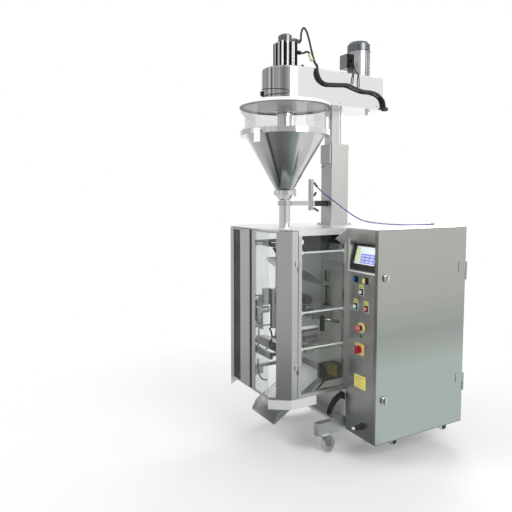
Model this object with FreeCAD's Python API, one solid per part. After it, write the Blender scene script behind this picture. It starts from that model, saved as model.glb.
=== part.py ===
# Powder packaging machine: glazed bagging enclosure, control cabinet and auger filler on a lift column.
# Millimetres, +Z up, front of the machine towards -Y. The pieces are laid out about the filling axis, with
# x to the right, y to the back and z from the floor, and are moved at export so that the origin is the
# centre of the footprint.
import FreeCAD, Part
import math
import os

V = FreeCAD.Vector

# Origin of the exported model, measured from the filling axis
origin_x = 145.5
origin_y = 365.0

# Enclosure in plan and height
body_half = 332.0
front_half = 250.0
front_y = -272.0
chamfer_y = -155.0
wall_y = 260.0
wall_t = 6.0
roof_z = 1437.0
roof_t = 6.0
roof_back_y = 600.0
rim_h = 34.0
sheet = 2.0
spout_hole_r = 45.0

# Base frame
beam_w = 40.0
beam_h = 80.0
beam_z = 125.0
beam_front_y = 50.0
beam_back_y = 960.0
beam_inset = 12.0
tube_wall = 3.0
channel_front_y = 160.0
channel_h = 17.0
post_w = 40.0
rear_post_y = 560.0
outrigger_h = 40.0
outrigger_ys = (420.0, 860.0)
outrigger_inset = 22.0
stand_y = 800.0
stand_z = 540.0
stand_foot = 200.0
stand_head = 100.0
stand_t = 10.0

# Casters and feet
caster_inset = 22.0
swivel_y = 125.0
caster_trail = 24.0
wheel_r = 50.0
wheel_half = 14.0
fork_gap = 17.5
fork_t = 3.0
axle_r = 6.0
run_fit = 0.05
face_gap = 0.3
foot_ys = (470.0, 930.0)
foot_inset = 20.0
foot_r = 32.0
stem_r = 8.0

# Cabinet
cab_w = 280.0
cab_d = 753.0
cab_z = 137.0
door_wrap = 24.0
door_gap = 2.0
flange_w = 22.0
hinge_r = 6.5
hinge_pin_r = 3.0
lock_zs = (1150.0, 409.0)
lock_y = 322.0
lock_r = 20.0

# Screen in its hood
screen_w = 222.0
screen_h = 167.0
hood_z0 = 1178.0
hood_z1 = 1363.0
hood_depth = 53.0
bezel_t = 8.0
hood_inset = 136.5

# Controls on the cabinet front: distance from its left edge, and z
selector_left_on = (85.0, 1125.0)
selector_right_on = (180.0, 1125.0)
upper_button_on = (135.0, 1051.0)
start_button_on = (85.0, 955.0)
stop_button_on = (182.0, 955.0)
emergency_on = (140.0, 830.0)
isolator_on = (128.0, 694.0)
air_inlet_on = (156.0, 214.0)
collar_r = 15.0
collar_h = 6.0
cap_r = 11.5
stop_stem_r = 12.0

# Guard doors and side guards
door_z0 = 405.0
door_z1 = 1427.0
door_hinge_zs = (585.0, 1215.0)
door_free_right = 48.0
door_free_left = 18.0
door_hinge_y = -111.0
door_hinge_r = 5.0
guard_post = 24.0
guard_z0 = 403.0
skirt_z0 = 345.0
skirt_back_y = 29.0
guard_rod_r = 6.0
guard_rod_zs = (1295.0, 928.0, 704.0)
pane_t = 4.0

# Discharge chute
chute_half = 144.0
chute_front = (-165.0, 182.0)
chute_back_z = 435.0
chute_side = 50.0

# Forming set
tube_r = 60.0
tube_z0 = 720.0
tube_wall_t = 3.0
flare_h = 40.0
flare_out = 22.0
film_window_half = 205.0
film_window_z0 = 1280.0
film_window_z1 = 1363.0
hanger_z = 1313.0
hanger_rod_r = 12.0
hanger_rod_x = 226.0
hanger_front_y = -200.0
shoulder_r = 64.0
shoulder_low = 1110.0
shoulder_high = 1240.0
shoulder_wing_x = 230.0
shoulder_wing_y = 160.0
shoulder_wing_mid = 70.0
shoulder_edge_low = 1045.0
shoulder_edge_high = 1236.0

# Film belts
drive_half = 30.0
drive_depth = 70.0
belt_motor_r = 30.0
belt_motor_end = 198.0
belt_gap = 0.6
belt_t = 4.0
belt_w = 28.0
pulley_r = 22.0
belt_z_top = 960.0
belt_z_bottom = 800.0
belt_stroke = 15.0
rail_r = 8.0
rail_y = 120.0
rail_zs = (860.0, 900.0)
rail_end = 170.0

# Sealing
sealer_z0 = 770.0
sealer_z1 = 1030.0
sealer_w = 24.0
sealer_depth = 28.0
sealer_gap = 15.0
sealer_z = 900.0
jaw_z0 = 620.0
jaw_z1 = 680.0
jaw_half = 145.0
jaw_open = 40.0
jaw_depth = 55.0
jaw_rod_r = 12.5
jaw_rod_x = 170.0
jaw_front_y = -205.0
valve_inset = 132.0
valve_z0 = 462.0
valve_h = 93.0
sensor_x = 130.0
sensor_z0 = 888.0
sensor_z1 = 1044.0

# Film path at the back
roller_r = 25.0
roller_z = 1345.0
roller_y = 293.0
reel_r = 20.0
dancer_z = 800.0
dancer_reach = 180.0
dancer_drop = 40.0
journal_r = 8.0

# Lift column
col_half = 58.5
col_y0 = 337.0
col_d = 140.0
col_z1 = 1946.0
cap_z1 = 1985.0
col_wall = 5.0
foot_plate = 20.0
foot_plate_t = 8.0
mast_half = 40.0
mast_y0 = 349.0
mast_d = 60.0
mast_z0 = 1560.0
screw_r = 7.0
screw_at = (30.0, 432.0)

# Filler arm
arm_r = 151.0
arm_z0 = 2222.0
arm_z1 = 2440.0
arm_end_y = 711.0
arm_sheet = 3.0
arm_plate = 10.0
arm_corner = 20.0
arm_edge = 12.0
servo_half = 56.0
servo_h = 158.0
servo_cap_r = 46.0
servo_cap_h = 50.0
stir_y = 605.0
stir_r = 78.0
stir_h = 190.0
cowl_r = 80.5
cowl_h = 62.0
terminal_glands = ((489.0, 2512.0), (501.0, 2553.0))

# Hopper
lid_lip = 8.0
lid_t = 12.0
lid_rim_h = 25.0
ring_r = 286.0
ring_t = 8.0
cone_step = 35.0
cone_z1 = 2018.0
flange_lip = 4.0
seam_angles = (-63.0, -8.0)
seam_w = 22.0
seam_t = 3.0
flange_z1 = 2052.0
flange_t = 12.0
neck_r = 60.0
neck_z = 1674.0
cone_t = 2.5
ferrule_r = 64.0
ferrule_z = 1656.5
ferrule_t = 7.5
clamp_r = 72.0
spout_r = 36.0
spout_t = 2.5
spout_z0 = 800.0
inlet_x = -220.0
inlet_r = 55.0
inlet_h = 60.0
latch_angle = -65.5
latch_pin_r = 4.0
latch_out = 7.0
latch_z = 2041.0
ear_r = 6.5

# Auger and agitator
blade_z0 = 18.0
blade_h = 10.0
collar_drops = (46.0, 72.0)
auger_shaft_r = 11.0
auger_r = 31.0
auger_pitch = 60.0
auger_turns = 9
auger_flight_t = 3.0
hub_r = 49.0
hub_t = 6.0
scraper_gap = 6.0
scraper_t = 6.0

# Spout stay
stay_z0 = 1573.0
stay_z1 = 1603.0
manifold_y = 208.0
manifold_r = 17.0
manifold_z0 = 1540.0
manifold_z1 = 1748.0
blue_start = (16.0, 250.0, 1696.0)
blue_r = 4.0

# Values that follow from the sizes above
cab_x0 = body_half
beam_out = body_half - beam_inset
caster_x = beam_out - caster_inset
foot_x = beam_out - foot_inset
hood_centre = cab_x0 + hood_inset
cab_x1 = cab_x0 + cab_w
outrigger_end = cab_x1 - outrigger_inset
cab_y1 = wall_y + cab_d
cab_hinge_y = cab_y1 + hinge_r + 0.5
beam_top = beam_z + beam_h
channel_top = beam_top + channel_h
post_y0 = wall_y + wall_t
roof_under = roof_z - roof_t
rim_z = roof_under - rim_h
jaw_z = (jaw_z0 + jaw_z1) / 2
flange_r = ring_r + flange_lip
lid_r = ring_r + lid_lip
cone_r = flange_r - cone_step
lid_z = arm_z0
ring_z1 = lid_z - lid_t
ring_z0 = cone_z1 + flange_t
belt_x = tube_r + belt_gap + belt_t + face_gap + pulley_r


def on_cabinet(spot):
    """A control's x and z, from its distance from the cabinet's left edge."""
    return (cab_x0 + spot[0], spot[1])


selector_left_at = on_cabinet(selector_left_on)
selector_right_at = on_cabinet(selector_right_on)
upper_button_at = on_cabinet(upper_button_on)
start_button_at = on_cabinet(start_button_on)
stop_button_at = on_cabinet(stop_button_on)
emergency_at = on_cabinet(emergency_on)
isolator_at = on_cabinet(isolator_on)
air_inlet_at = on_cabinet(air_inlet_on)


def box(x0, x1, y0, y1, z0, z1):
    return Part.makeBox(x1 - x0, y1 - y0, z1 - z0, V(x0, y0, z0))


def rod(radius, start, end):
    start = V(*start)
    end = V(*end)
    return Part.makeCylinder(radius, (end - start).Length, start, end - start)


def pipe(outer, inner, start, end):
    return rod(outer, start, end).cut(rod(inner, start, end))


def fuse(*shapes):
    return shapes[0].multiFuse(list(shapes[1:])).removeSplitter()


def mirrored(shape):
    return shape.mirror(V(0, 0, 0), V(1, 0, 0))


def turned(shape, angle, centre=(0, 0, 0), axis=(0, 0, 1)):
    copy = shape.copy()
    copy.rotate(V(*centre), V(*axis), angle)
    return copy


def moved(shape, x=0.0, y=0.0, z=0.0):
    copy = shape.copy()
    copy.translate(V(x, y, z))
    return copy


def prism(points, z0, z1):
    """A plan outline raised from z0 to z1."""
    wire = Part.makePolygon([V(x, y, z0) for x, y in points + points[:1]])
    return Part.Face(wire).extrude(V(0, 0, z1 - z0))


def side_prism(points, x0, x1):
    """An outline in y and z carried from x0 to x1."""
    wire = Part.makePolygon([V(x0, y, z) for y, z in points + points[:1]])
    return Part.Face(wire).extrude(V(x1 - x0, 0, 0))


def front_prism(points, y0, y1):
    """An outline in x and z carried from y0 to y1."""
    wire = Part.makePolygon([V(x, y0, z) for x, z in points + points[:1]])
    return Part.Face(wire).extrude(V(0, y1 - y0, 0))


def turned_profile(points, centre=(0.0, 0.0, 0.0), axis=(0, 0, 1)):
    """A radius and height outline revolved about z, then laid along axis at centre."""
    wire = Part.makePolygon([V(r, 0, z) for r, z in points + points[:1]])
    solid = Part.Face(wire).revolve(V(0, 0, 0), V(0, 0, 1), 360)
    solid.Placement = FreeCAD.Placement(V(*centre), FreeCAD.Rotation(V(0, 0, 1), V(*axis)))
    return solid


def offset_path(path, gap):
    """An open plan line moved to its left by gap, mitred at its bends."""
    normals = []
    for (xa, ya), (xb, yb) in zip(path, path[1:]):
        length = math.hypot(xb - xa, yb - ya)
        normals.append((-(yb - ya) / length, (xb - xa) / length))
    points = []
    for index, (x, y) in enumerate(path):
        before = normals[max(index - 1, 0)]
        after = normals[min(index, len(normals) - 1)]
        scale = gap / (1 + before[0] * after[0] + before[1] * after[1])
        points.append((x + scale * (before[0] + after[0]), y + scale * (before[1] + after[1])))
    return points


def band(path, near, far, z0, z1):
    """A strip that follows a plan line, between near and far to its left."""
    return prism(offset_path(path, near) + offset_path(path, far)[::-1], z0, z1)


def square_tube(x0, x1, y0, y1, z0, z1, along):
    """A square tube open at both ends along the named axis."""
    cut = [x0 + tube_wall, x1 - tube_wall, y0 + tube_wall, y1 - tube_wall, z0 + tube_wall, z1 - tube_wall]
    first = 2 * "xyz".index(along)
    cut[first] -= 2 * tube_wall
    cut[first + 1] += 2 * tube_wall
    return box(x0, x1, y0, y1, z0, z1).cut(box(*cut))


def cord(points, radius, label):
    """A round cord along straight runs joined by tangent arcs; prints its tightest bend and length."""
    nodes = [V(*point) for point in points]
    start = nodes[0]
    edges = []
    radii = []
    for before, corner, after in zip(nodes, nodes[1:], nodes[2:]):
        way_in = corner - before
        way_out = after - corner
        turn = way_in.getAngle(way_out)
        bend = 0.45 * min(way_in.Length, way_out.Length) / math.tan(turn / 2)
        reach = bend * math.tan(turn / 2)
        way_in.normalize()
        way_out.normalize()
        begin = corner - way_in * reach
        end = corner + way_out * reach
        middle = corner + (way_out - way_in).normalize() * (bend / math.cos(turn / 2) - bend)
        edges.append(Part.LineSegment(start, begin).toShape())
        edges.append(Part.Arc(begin, middle, end).toShape())
        start = end
        radii.append(bend)
    edges.append(Part.LineSegment(start, nodes[-1]).toShape())
    path = Part.Wire(edges)
    circle = Part.Wire(Part.makeCircle(radius, nodes[0], nodes[1] - nodes[0]))
    tube = path.makePipeShell([circle], True, False)
    ideal = math.pi * radius ** 2 * path.Length
    print(label, "radii", [round(r) for r in radii], "length", round(path.Length),
          "volume ratio", round(tube.Volume / ideal, 4))
    return tube


def trimmed(cords, *hosts):
    """The cords without what reaches into the pieces that they plug into."""
    result = []
    for piece in cords:
        for host in sum(hosts, []):
            if piece.distToShape(host)[0] < 0.001:
                piece = piece.cut(host)
        result.append(max(piece.Solids, key=lambda solid: solid.Volume))
    return result


def export(name, *solids):
    group = Part.makeCompound([moved(solid, -origin_x, -origin_y) for solid in solids])
    group.exportStep("parts/" + name + ".step")


# Base frame


def caster_plate(x):
    plate = box(x - 35, x + 35, swivel_y - 45, swivel_y + 45, beam_z - 4, beam_z)
    return plate.fuse(rod(axle_r, (x, swivel_y, 103), (x, swivel_y, beam_z - 4)))


def film_stand(x0, x1):
    outline = [(stand_y - stand_foot / 2, beam_top), (stand_y + stand_foot / 2, beam_top),
               (stand_y + stand_head / 2, stand_z + stand_head / 2),
               (stand_y - stand_head / 2, stand_z + stand_head / 2)]
    bore = rod(reel_r + run_fit, (x0 - 1, stand_y, stand_z), (x1 + 1, stand_y, stand_z))
    return side_prism(outline, x0, x1).cut(bore)


def journal_hole(x0, x1, y, z):
    return rod(journal_r + run_fit, (x0, y, z), (x1, y, z))


def base_frame():
    beam_in = beam_out - beam_w
    post_x0 = body_half - post_w
    beam = box(beam_in, beam_out, beam_front_y, beam_back_y, beam_z, beam_top)
    beam = beam.cut(box(beam_in + tube_wall, beam_out - tube_wall, beam_front_y + tube_wall,
                        beam_back_y + 1, beam_z + tube_wall, beam_top - tube_wall))
    front_post = square_tube(post_x0, body_half, post_y0, post_y0 + post_w, beam_top, roof_under, "z")
    rear_post = square_tube(post_x0, body_half, rear_post_y, rear_post_y + post_w, beam_top, roof_under, "z")
    rail = square_tube(post_x0, body_half, post_y0 + post_w, rear_post_y, roof_under - post_w, roof_under, "y")
    front_post = front_post.cut(journal_hole(post_x0 - 1, body_half - 10, roller_y, roller_z))
    rear_post = rear_post.cut(journal_hole(post_x0 - 1, body_half - 10, rear_post_y + post_w / 2, dancer_z))
    side = [beam, front_post, rear_post, rail, film_stand(post_x0 - 2, post_x0 - 2 + stand_t), caster_plate(caster_x)]
    pieces = side + [mirrored(piece) for piece in side]
    channel = box(-beam_out, beam_out, channel_front_y, post_y0, beam_top, channel_top)
    pieces.append(channel.cut(box(-beam_in, beam_in, channel_front_y + tube_wall, post_y0 - tube_wall,
                                  beam_top - 1, channel_top - tube_wall)))
    for y in (rear_post_y, beam_back_y - 2 * beam_w):
        pieces.append(square_tube(-beam_in, beam_in, y, y + beam_w, beam_z + 20, beam_top, "x"))
    for y in (col_y0, col_y0 + col_d - post_w, rear_post_y):
        pieces.append(square_tube(-post_x0, post_x0, y, y + post_w, roof_under - post_w, roof_under, "x"))
    for y in outrigger_ys:
        pieces.append(square_tube(beam_out, outrigger_end, y, y + beam_w, cab_z - outrigger_h, cab_z, "x"))
    return fuse(*pieces)


def levelling_foot(x, y):
    pad = turned_profile([(0, 0), (foot_r, 0), (foot_r, 5), (14, 14), (0, 14)], (x, y, 0))
    nut = Part.Face(Part.makePolygon([V(x + 14 * math.cos(math.radians(a)), y + 14 * math.sin(math.radians(a)),
                                        beam_z - 14) for a in range(0, 361, 60)])).extrude(V(0, 0, 14))
    return fuse(pad, rod(stem_r, (x, y, 10), (x, y, beam_z)), nut)


# Casters


def swivel_fork(x):
    bridge_z = 2 * wheel_r + 1.5
    wheel_y = swivel_y + caster_trail
    disc = rod(26, (x, swivel_y, bridge_z), (x, swivel_y, beam_z - 4 - face_gap))
    bridge = box(x - fork_gap - fork_t, x + fork_gap + fork_t, swivel_y - 18, wheel_y + 12, bridge_z, bridge_z + 3)
    leg = side_prism([(swivel_y - 18, bridge_z + 3), (wheel_y + 12, bridge_z + 3), (wheel_y + 11, wheel_r - 10),
                      (wheel_y - 11, wheel_r - 10)], x + fork_gap, x + fork_gap + fork_t)
    other = moved(leg, -2 * fork_gap - fork_t)
    axle = rod(axle_r, (x - fork_gap - fork_t, wheel_y, wheel_r), (x + fork_gap + fork_t, wheel_y, wheel_r))
    body = fuse(disc, bridge, leg, other, axle)
    return body.cut(rod(axle_r + run_fit, (x, swivel_y, bridge_z - 1), (x, swivel_y, beam_z)))


def front_wheel(x):
    bore = axle_r + run_fit
    outline = [(bore, -16), (13, -16), (13, -6), (36, -6), (36, -12), (wheel_r - 3, -12), (wheel_r, -8),
               (wheel_r, 8), (wheel_r - 3, 12), (36, 12), (36, 6), (13, 6), (13, 16), (bore, 16)]
    return turned_profile(outline, (x, swivel_y + caster_trail, wheel_r), (1, 0, 0))


# Cabinet


def hood_wedge(wall, front):
    """The hood's leaning recess, grown by wall, from front back to the plane that the screen lies on."""
    slope = hood_depth / (hood_z1 - hood_z0)
    low = wall_y + bezel_t + wall
    high = low + slope * (hood_z1 - hood_z0)
    z0 = hood_z0 - wall
    z1 = hood_z1 + wall
    half = screen_w / 2 + 4 + wall
    outline = [(front, z0), (low, z0), (low, hood_z0), (high, hood_z1), (high, z1), (front, z1)]
    return side_prism(outline, hood_centre - half, hood_centre + half)


def cabinet_shell():
    front_edge = cab_x1 - door_wrap - door_gap
    shell = box(cab_x0, cab_x1 - face_gap, wall_y, cab_y1, cab_z, roof_z)
    shell = shell.cut(box(cab_x0 + sheet, cab_x1 + 1, wall_y + sheet, cab_y1 - sheet, cab_z + sheet, roof_z - sheet))
    shell = shell.cut(box(front_edge, cab_x1 + 1, wall_y - 1, wall_y + sheet, cab_z + sheet, roof_z - sheet))
    inner_z0 = cab_z + sheet
    inner_z1 = roof_z - sheet
    lip = front_edge - sheet
    flanges = [box(lip, front_edge, wall_y + sheet, wall_y + sheet + flange_w, inner_z0, inner_z1),
               box(lip, front_edge, cab_y1 - sheet - flange_w, cab_y1 - sheet, inner_z0, inner_z1),
               box(lip, front_edge, wall_y + sheet, cab_y1 - sheet, inner_z1 - flange_w, inner_z1),
               box(lip, front_edge, wall_y + sheet, cab_y1 - sheet, inner_z0, inner_z0 + flange_w)]
    opening = hood_wedge(0.0, wall_y - 1)
    hood = hood_wedge(sheet, wall_y).cut(opening)
    knuckles = []
    for z in lock_zs:
        knuckles.append(rod(hinge_r, (cab_x1, cab_hinge_y, z - 60), (cab_x1, cab_hinge_y, z - face_gap)))
        knuckles.append(box(cab_x1 - 40, cab_x1, cab_y1, cab_y1 + 3, z - 60, z - face_gap))
        knuckles.append(rod(hinge_pin_r, (cab_x1, cab_hinge_y, z - 60), (cab_x1, cab_hinge_y, z + 55)))
    return fuse(shell, *flanges, *knuckles).cut(opening).fuse(hood).removeSplitter()


def cabinet_door():
    x0 = cab_x1 - door_wrap
    y1 = cab_y1 - sheet - 1.5
    z0 = cab_z + sheet + 2
    z1 = roof_z - sheet - 2
    pan = box(x0, cab_x1, wall_y, y1, z0, z1).cut(box(x0 - 1, cab_x1 - sheet, wall_y + sheet, y1 - sheet, z0 + sheet,
                                                      z1 - sheet))
    leaves = []
    for z in lock_zs:
        barrel = rod(hinge_r, (cab_x1, cab_hinge_y, z), (cab_x1, cab_hinge_y, z + 60))
        leaf = box(cab_x1, cab_x1 + 3, y1 - 60, cab_hinge_y, z, z + 60)
        bore = rod(hinge_pin_r + run_fit, (cab_x1, cab_hinge_y, z - 1), (cab_x1, cab_hinge_y, z + 56))
        leaves.append(fuse(barrel, leaf).cut(bore))
        pan = pan.cut(rod(journal_r + run_fit, (cab_x1 - 5, lock_y, z), (cab_x1 + 1, lock_y, z)))
    return fuse(pan, *leaves)


def door_lock(z):
    """A turning lock, drawn unlocked: a quarter turn brings its cam behind the cabinet's front lip."""
    base = rod(lock_r + 4, (cab_x1 + face_gap, lock_y, z), (cab_x1 + 6, lock_y, z))
    knob = rod(lock_r, (cab_x1 + 6, lock_y, z), (cab_x1 + 12, lock_y, z))
    grip = box(cab_x1 + 12, cab_x1 + 22, lock_y - 6, lock_y + 6, z - lock_r, z + lock_r)
    shaft = rod(journal_r, (cab_x1 - door_wrap - 12, lock_y, z), (cab_x1 + 1, lock_y, z))
    cam_x = cab_x1 - door_wrap - 12
    cam = box(cam_x, cam_x + 4, lock_y - 10, lock_y + 10, z - 10, z + 50)
    return fuse(base, knob, grip, shaft, cam)


def electrical_panel():
    x0 = cab_x0 + sheet
    plate_x = x0 + 16
    y0 = wall_y + 40
    y1 = cab_y1 - 43
    z0 = cab_z + 63
    z1 = roof_z - 307
    pieces = [box(plate_x, plate_x + 3, y0, y1, z0, z1)]
    for y in (y0 + 30, y1 - 30):
        for z in (z0 + 40, z1 - 40):
            pieces.append(rod(8, (x0, y, z), (plate_x, y, z)))
    rails_z = (z0 + 130, z0 + 420, z0 + 700)
    for z in rails_z:
        pieces.append(box(plate_x + 3, plate_x + 10, y0 + 30, y1 - 30, z - 17, z + 17))
    plate = fuse(*pieces)
    modules = []
    sizes = ((rails_z[0], 70.0, 90.0, 80.0, 7), (rails_z[1], 45.0, 60.0, 70.0, 10), (rails_z[2], 60.0, 110.0, 100.0, 6))
    for z, width, height, depth, count in sizes:
        for index in range(count):
            y = y0 + 45 + index * ((y1 - y0 - 80) / count)
            modules.append(box(plate_x + 10, plate_x + 10 + depth, y, y + width, z - height / 2, z + height / 2))
    return [plate] + modules


def touch_screen():
    tilt = math.degrees(math.atan2(hood_depth, hood_z1 - hood_z0))
    bezel = box(-screen_w / 2, screen_w / 2, -bezel_t, 0, 0, screen_h)
    bezel = bezel.makeFillet(4, [edge for edge in bezel.Edges if abs(edge.tangentAt(edge.FirstParameter).y) > 0.9])
    window = box(-screen_w / 2 + 18, screen_w / 2 - 18, -bezel_t - 1, -bezel_t + 1.5, 20, screen_h - 18)
    unit = turned(bezel.cut(window), -tilt, axis=(1, 0, 0))
    rise = 3.0
    lean = rise * hood_depth / (hood_z1 - hood_z0)
    return moved(unit, hood_centre, wall_y + bezel_t + lean, hood_z0 + rise)


# Controls


def collar(at, outer=collar_r, inner=cap_r + face_gap, length=collar_h, back=0.0):
    x, z = at
    return pipe(outer, inner, (x, wall_y - back, z), (x, wall_y - back - length, z))


def control_collars():
    small = [selector_left_at, selector_right_at, upper_button_at, start_button_at, stop_button_at]
    pieces = [collar(at) for at in small]
    x, z = emergency_at
    pieces.append(fuse(collar(emergency_at, 33, stop_stem_r + face_gap, 3),
                       collar(emergency_at, 17, stop_stem_r + face_gap, 18)))
    x, z = isolator_at
    pieces.append(box(x - 38, x + 38, wall_y - 3, wall_y, z - 35, z + 35))
    x, z = air_inlet_at
    inlet = [(0, 0), (22, 0), (22, 4), (16, 8), (16, 44), (12, 48), (8, 48), (8, 70), (0, 70)]
    pieces.append(turned_profile(inlet, (x, wall_y, z), (0, -1, 0)))
    return pieces


def push_button(at):
    x, z = at
    return turned_profile([(0, 3.5), (cap_r, 3.5), (cap_r, 14), (cap_r - 2, 16), (0, 16)], (x, wall_y, z), (0, -1, 0))


def selector(at):
    x, z = at
    base = turned_profile([(0, 1), (cap_r, 1), (cap_r, 12), (0, 12)], (x, wall_y, z), (0, -1, 0))
    return base.fuse(box(x - 4, x + 4, wall_y - 26, wall_y - 11, z - cap_r + 1, z + cap_r + 3))


def emergency_stop():
    x, z = emergency_at
    outline = [(0, 5), (stop_stem_r, 5), (stop_stem_r, 26), (21, 26), (21, 33), (18, 42), (10, 48), (0, 50)]
    return turned_profile(outline, (x, wall_y, z), (0, -1, 0))


def isolator_knob():
    x, z = isolator_at
    disc = rod(24, (x, wall_y - 3.3, z), (x, wall_y - 14, z))
    return disc.fuse(box(x - 7, x + 7, wall_y - 34, wall_y - 13, z - 24, z + 24))


# Enclosure


def body_outline(back_y):
    return [(body_half, back_y), (body_half, chamfer_y), (front_half, front_y), (-front_half, front_y),
            (-body_half, chamfer_y), (-body_half, back_y)]


def top_plate():
    plate = prism(body_outline(roof_back_y), roof_under, roof_z)
    rim = box(body_half - sheet, body_half, door_hinge_y + 2, wall_y, rim_z, roof_under)
    return fuse(plate, rim, mirrored(rim)).cut(rod(spout_hole_r, (0, 0, roof_under - 1), (0, 0, roof_z + 1)))


def back_wall():
    half = film_window_half
    outline = [(-body_half, channel_top), (body_half, channel_top), (body_half, rim_z), (body_half - sheet, rim_z),
               (body_half - sheet, roof_under), (body_half - 42, roof_under), (half, film_window_z1),
               (half, film_window_z0), (-half, film_window_z0), (-half, film_window_z1),
               (42 - body_half, roof_under), (sheet - body_half, roof_under),
               (sheet - body_half, rim_z), (-body_half, rim_z)]
    return front_prism(outline, wall_y, post_y0)


def side_guard():
    x0 = body_half - guard_post
    front_post_y = door_hinge_y + 2
    front_post = box(x0, body_half, front_post_y, front_post_y + guard_post, guard_z0, rim_z)
    rear_post = box(x0, body_half, wall_y - guard_post, wall_y, guard_z0, rim_z)
    rail = box(x0, body_half, front_post_y + guard_post, wall_y - guard_post, guard_z0, guard_z0 + guard_post)
    pieces = [front_post, rear_post, rail]
    rod_x = body_half - 14
    for z in guard_rod_zs:
        pieces.append(rod(guard_rod_r, (rod_x, front_post_y + guard_post, z), (rod_x, wall_y - guard_post, z)))
        for y in (front_post_y + guard_post, wall_y - guard_post - 14):
            pieces.append(box(rod_x - 9, rod_x + 7, y, y + 14, z - 12, z + 12))
    for z in (door_hinge_zs[0] - 30, door_hinge_zs[1] - 30):
        axis_x = body_half + door_hinge_r + 1
        pieces.append(rod(door_hinge_r, (axis_x, door_hinge_y, z), (axis_x, door_hinge_y, z + 30 - face_gap)))
        pieces.append(box(body_half, axis_x, door_hinge_y, door_hinge_y + 22, z, z + 30 - face_gap))
        pieces.append(rod(2.5, (axis_x, door_hinge_y, z), (axis_x, door_hinge_y, z + 57)))
    return fuse(*pieces)


def side_pane():
    front = door_hinge_y + 2 + guard_post + 0.4
    back = wall_y - guard_post - 0.4
    x1 = body_half - sheet
    outline = [(front, guard_z0 + guard_post + 0.4), (back, guard_z0 + guard_post + 0.4), (back, rim_z - 63),
               (front + 184, rim_z - 0.4), (front, rim_z - 0.4)]
    return side_prism(outline, x1 - pane_t, x1)


def side_skirt():
    path = [(body_half, skirt_back_y), (body_half, chamfer_y), (front_half, front_y)]
    return band(path, 0.0, -sheet, skirt_z0, guard_z0)


def on_chamfer(share):
    """A plan point on the front right chamfer, share of the way from the front to the side."""
    return (front_half + share * (body_half - front_half), front_y + share * (chamfer_y - front_y))


def front_door(free_x, window):
    """The right-hand guard door in plan; window is the plan line that the pane covers."""
    path = [(body_half, door_hinge_y - 2), (body_half, chamfer_y), (front_half, front_y), (free_x, front_y)]
    skin = band(path, 0.0, -sheet, door_z0, door_z1)
    hole = band(window, -6.0, 9.0, door_z0 + 12, door_z1 - 10)
    skin = skin.cut(hole)
    flanges = [band(path, -sheet, -flange_w, z, z + sheet) for z in (door_z0, door_z1 - sheet)]
    edge = box(free_x, free_x + sheet, front_y + sheet, front_y + flange_w, door_z0, door_z1)
    hinge_edge = box(body_half - flange_w, body_half - sheet, door_hinge_y - 2 - sheet, door_hinge_y - 2, door_z0, door_z1)
    pieces = [skin, edge, hinge_edge] + flanges
    axis_x = body_half + door_hinge_r + 1
    for z in door_hinge_zs:
        barrel = rod(door_hinge_r, (axis_x, door_hinge_y, z), (axis_x, door_hinge_y, z + 30))
        leaf = box(body_half, axis_x, door_hinge_y - 22, door_hinge_y, z, z + 30)
        hinge = barrel.fuse(leaf)
        pieces.append(hinge.cut(rod(2.5 + run_fit, (axis_x, door_hinge_y, z - 1), (axis_x, door_hinge_y, z + 28))))
    return fuse(*pieces)


def door_pane(window):
    first, last = window[0], window[-1]
    grown = [(first[0] - 8, first[1])] + window[1:-1]
    length = math.hypot(last[0] - window[-2][0], last[1] - window[-2][1])
    grow = 1 + 8 / length
    grown.append((window[-2][0] + grow * (last[0] - window[-2][0]), window[-2][1] + grow * (last[1] - window[-2][1])))
    return band(grown, sheet + 0.2, sheet + 0.2 + pane_t, door_z0 + sheet + 0.4, door_z1 - sheet - 0.4)


window_right = [(door_free_right + 43, front_y), (front_half, front_y), on_chamfer(0.34)]
window_left = [(109.0, front_y), (204.0, front_y)]


def discharge_chute():
    yf, zf = chute_front
    slope = (chute_back_z - zf) / (wall_y - yf)
    floor = [(yf, zf), (wall_y, chute_back_z), (wall_y, chute_back_z + sheet + 1), (yf, zf + sheet + 1)]
    side = [(yf, zf), (wall_y, chute_back_z), (wall_y, chute_back_z + chute_side),
            (yf + 30, zf + 30 * slope + chute_side), (yf, zf + 12)]
    trough = side_prism(floor, -chute_half, chute_half)
    right = side_prism(side, chute_half - sheet, chute_half)
    flange = box(-chute_half, chute_half, wall_y - sheet, wall_y, chute_back_z, chute_back_z + chute_side)
    return fuse(trough, right, mirrored(right), flange)


# Forming set


def forming_tube():
    bar_z = hanger_z - 20
    flare_z = bar_z - flare_h
    inner = tube_r - tube_wall_t
    tube = pipe(tube_r, inner, (0, 0, tube_z0), (0, 0, flare_z))
    flare = turned_profile([(inner, flare_z), (tube_r, flare_z), (tube_r + flare_out, bar_z),
                            (tube_r + flare_out - tube_wall_t, bar_z)])
    bar = box(-hanger_rod_x - 18, hanger_rod_x + 18, -30, 30, bar_z, hanger_z)
    bar = bar.cut(rod(spout_hole_r, (0, 0, hanger_z - 21), (0, 0, hanger_z + 1)))
    rods = []
    for x in (-hanger_rod_x, hanger_rod_x):
        z = hanger_z + hanger_rod_r
        rods.append(rod(hanger_rod_r, (x, hanger_front_y, z), (x, wall_y, z)))
    return [tube, bar, flare] + rods


def shoulder_section(angle):
    """A thin upright slice of the collar at one angle round the tube, 0 at the back."""
    turn = math.radians(angle)
    share = (1 - math.cos(turn)) / 2
    inner = V(shoulder_r * math.sin(turn), shoulder_r * math.cos(turn),
              shoulder_low + share * (shoulder_high - shoulder_low))
    outer = V(shoulder_wing_x * math.sin(turn), shoulder_wing_mid + shoulder_wing_y * math.cos(turn),
              shoulder_edge_low + share * (shoulder_edge_high - shoulder_edge_low))
    down = V(0, 0, -3)
    return Part.makePolygon([inner, outer, outer + down, inner + down, inner])


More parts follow.
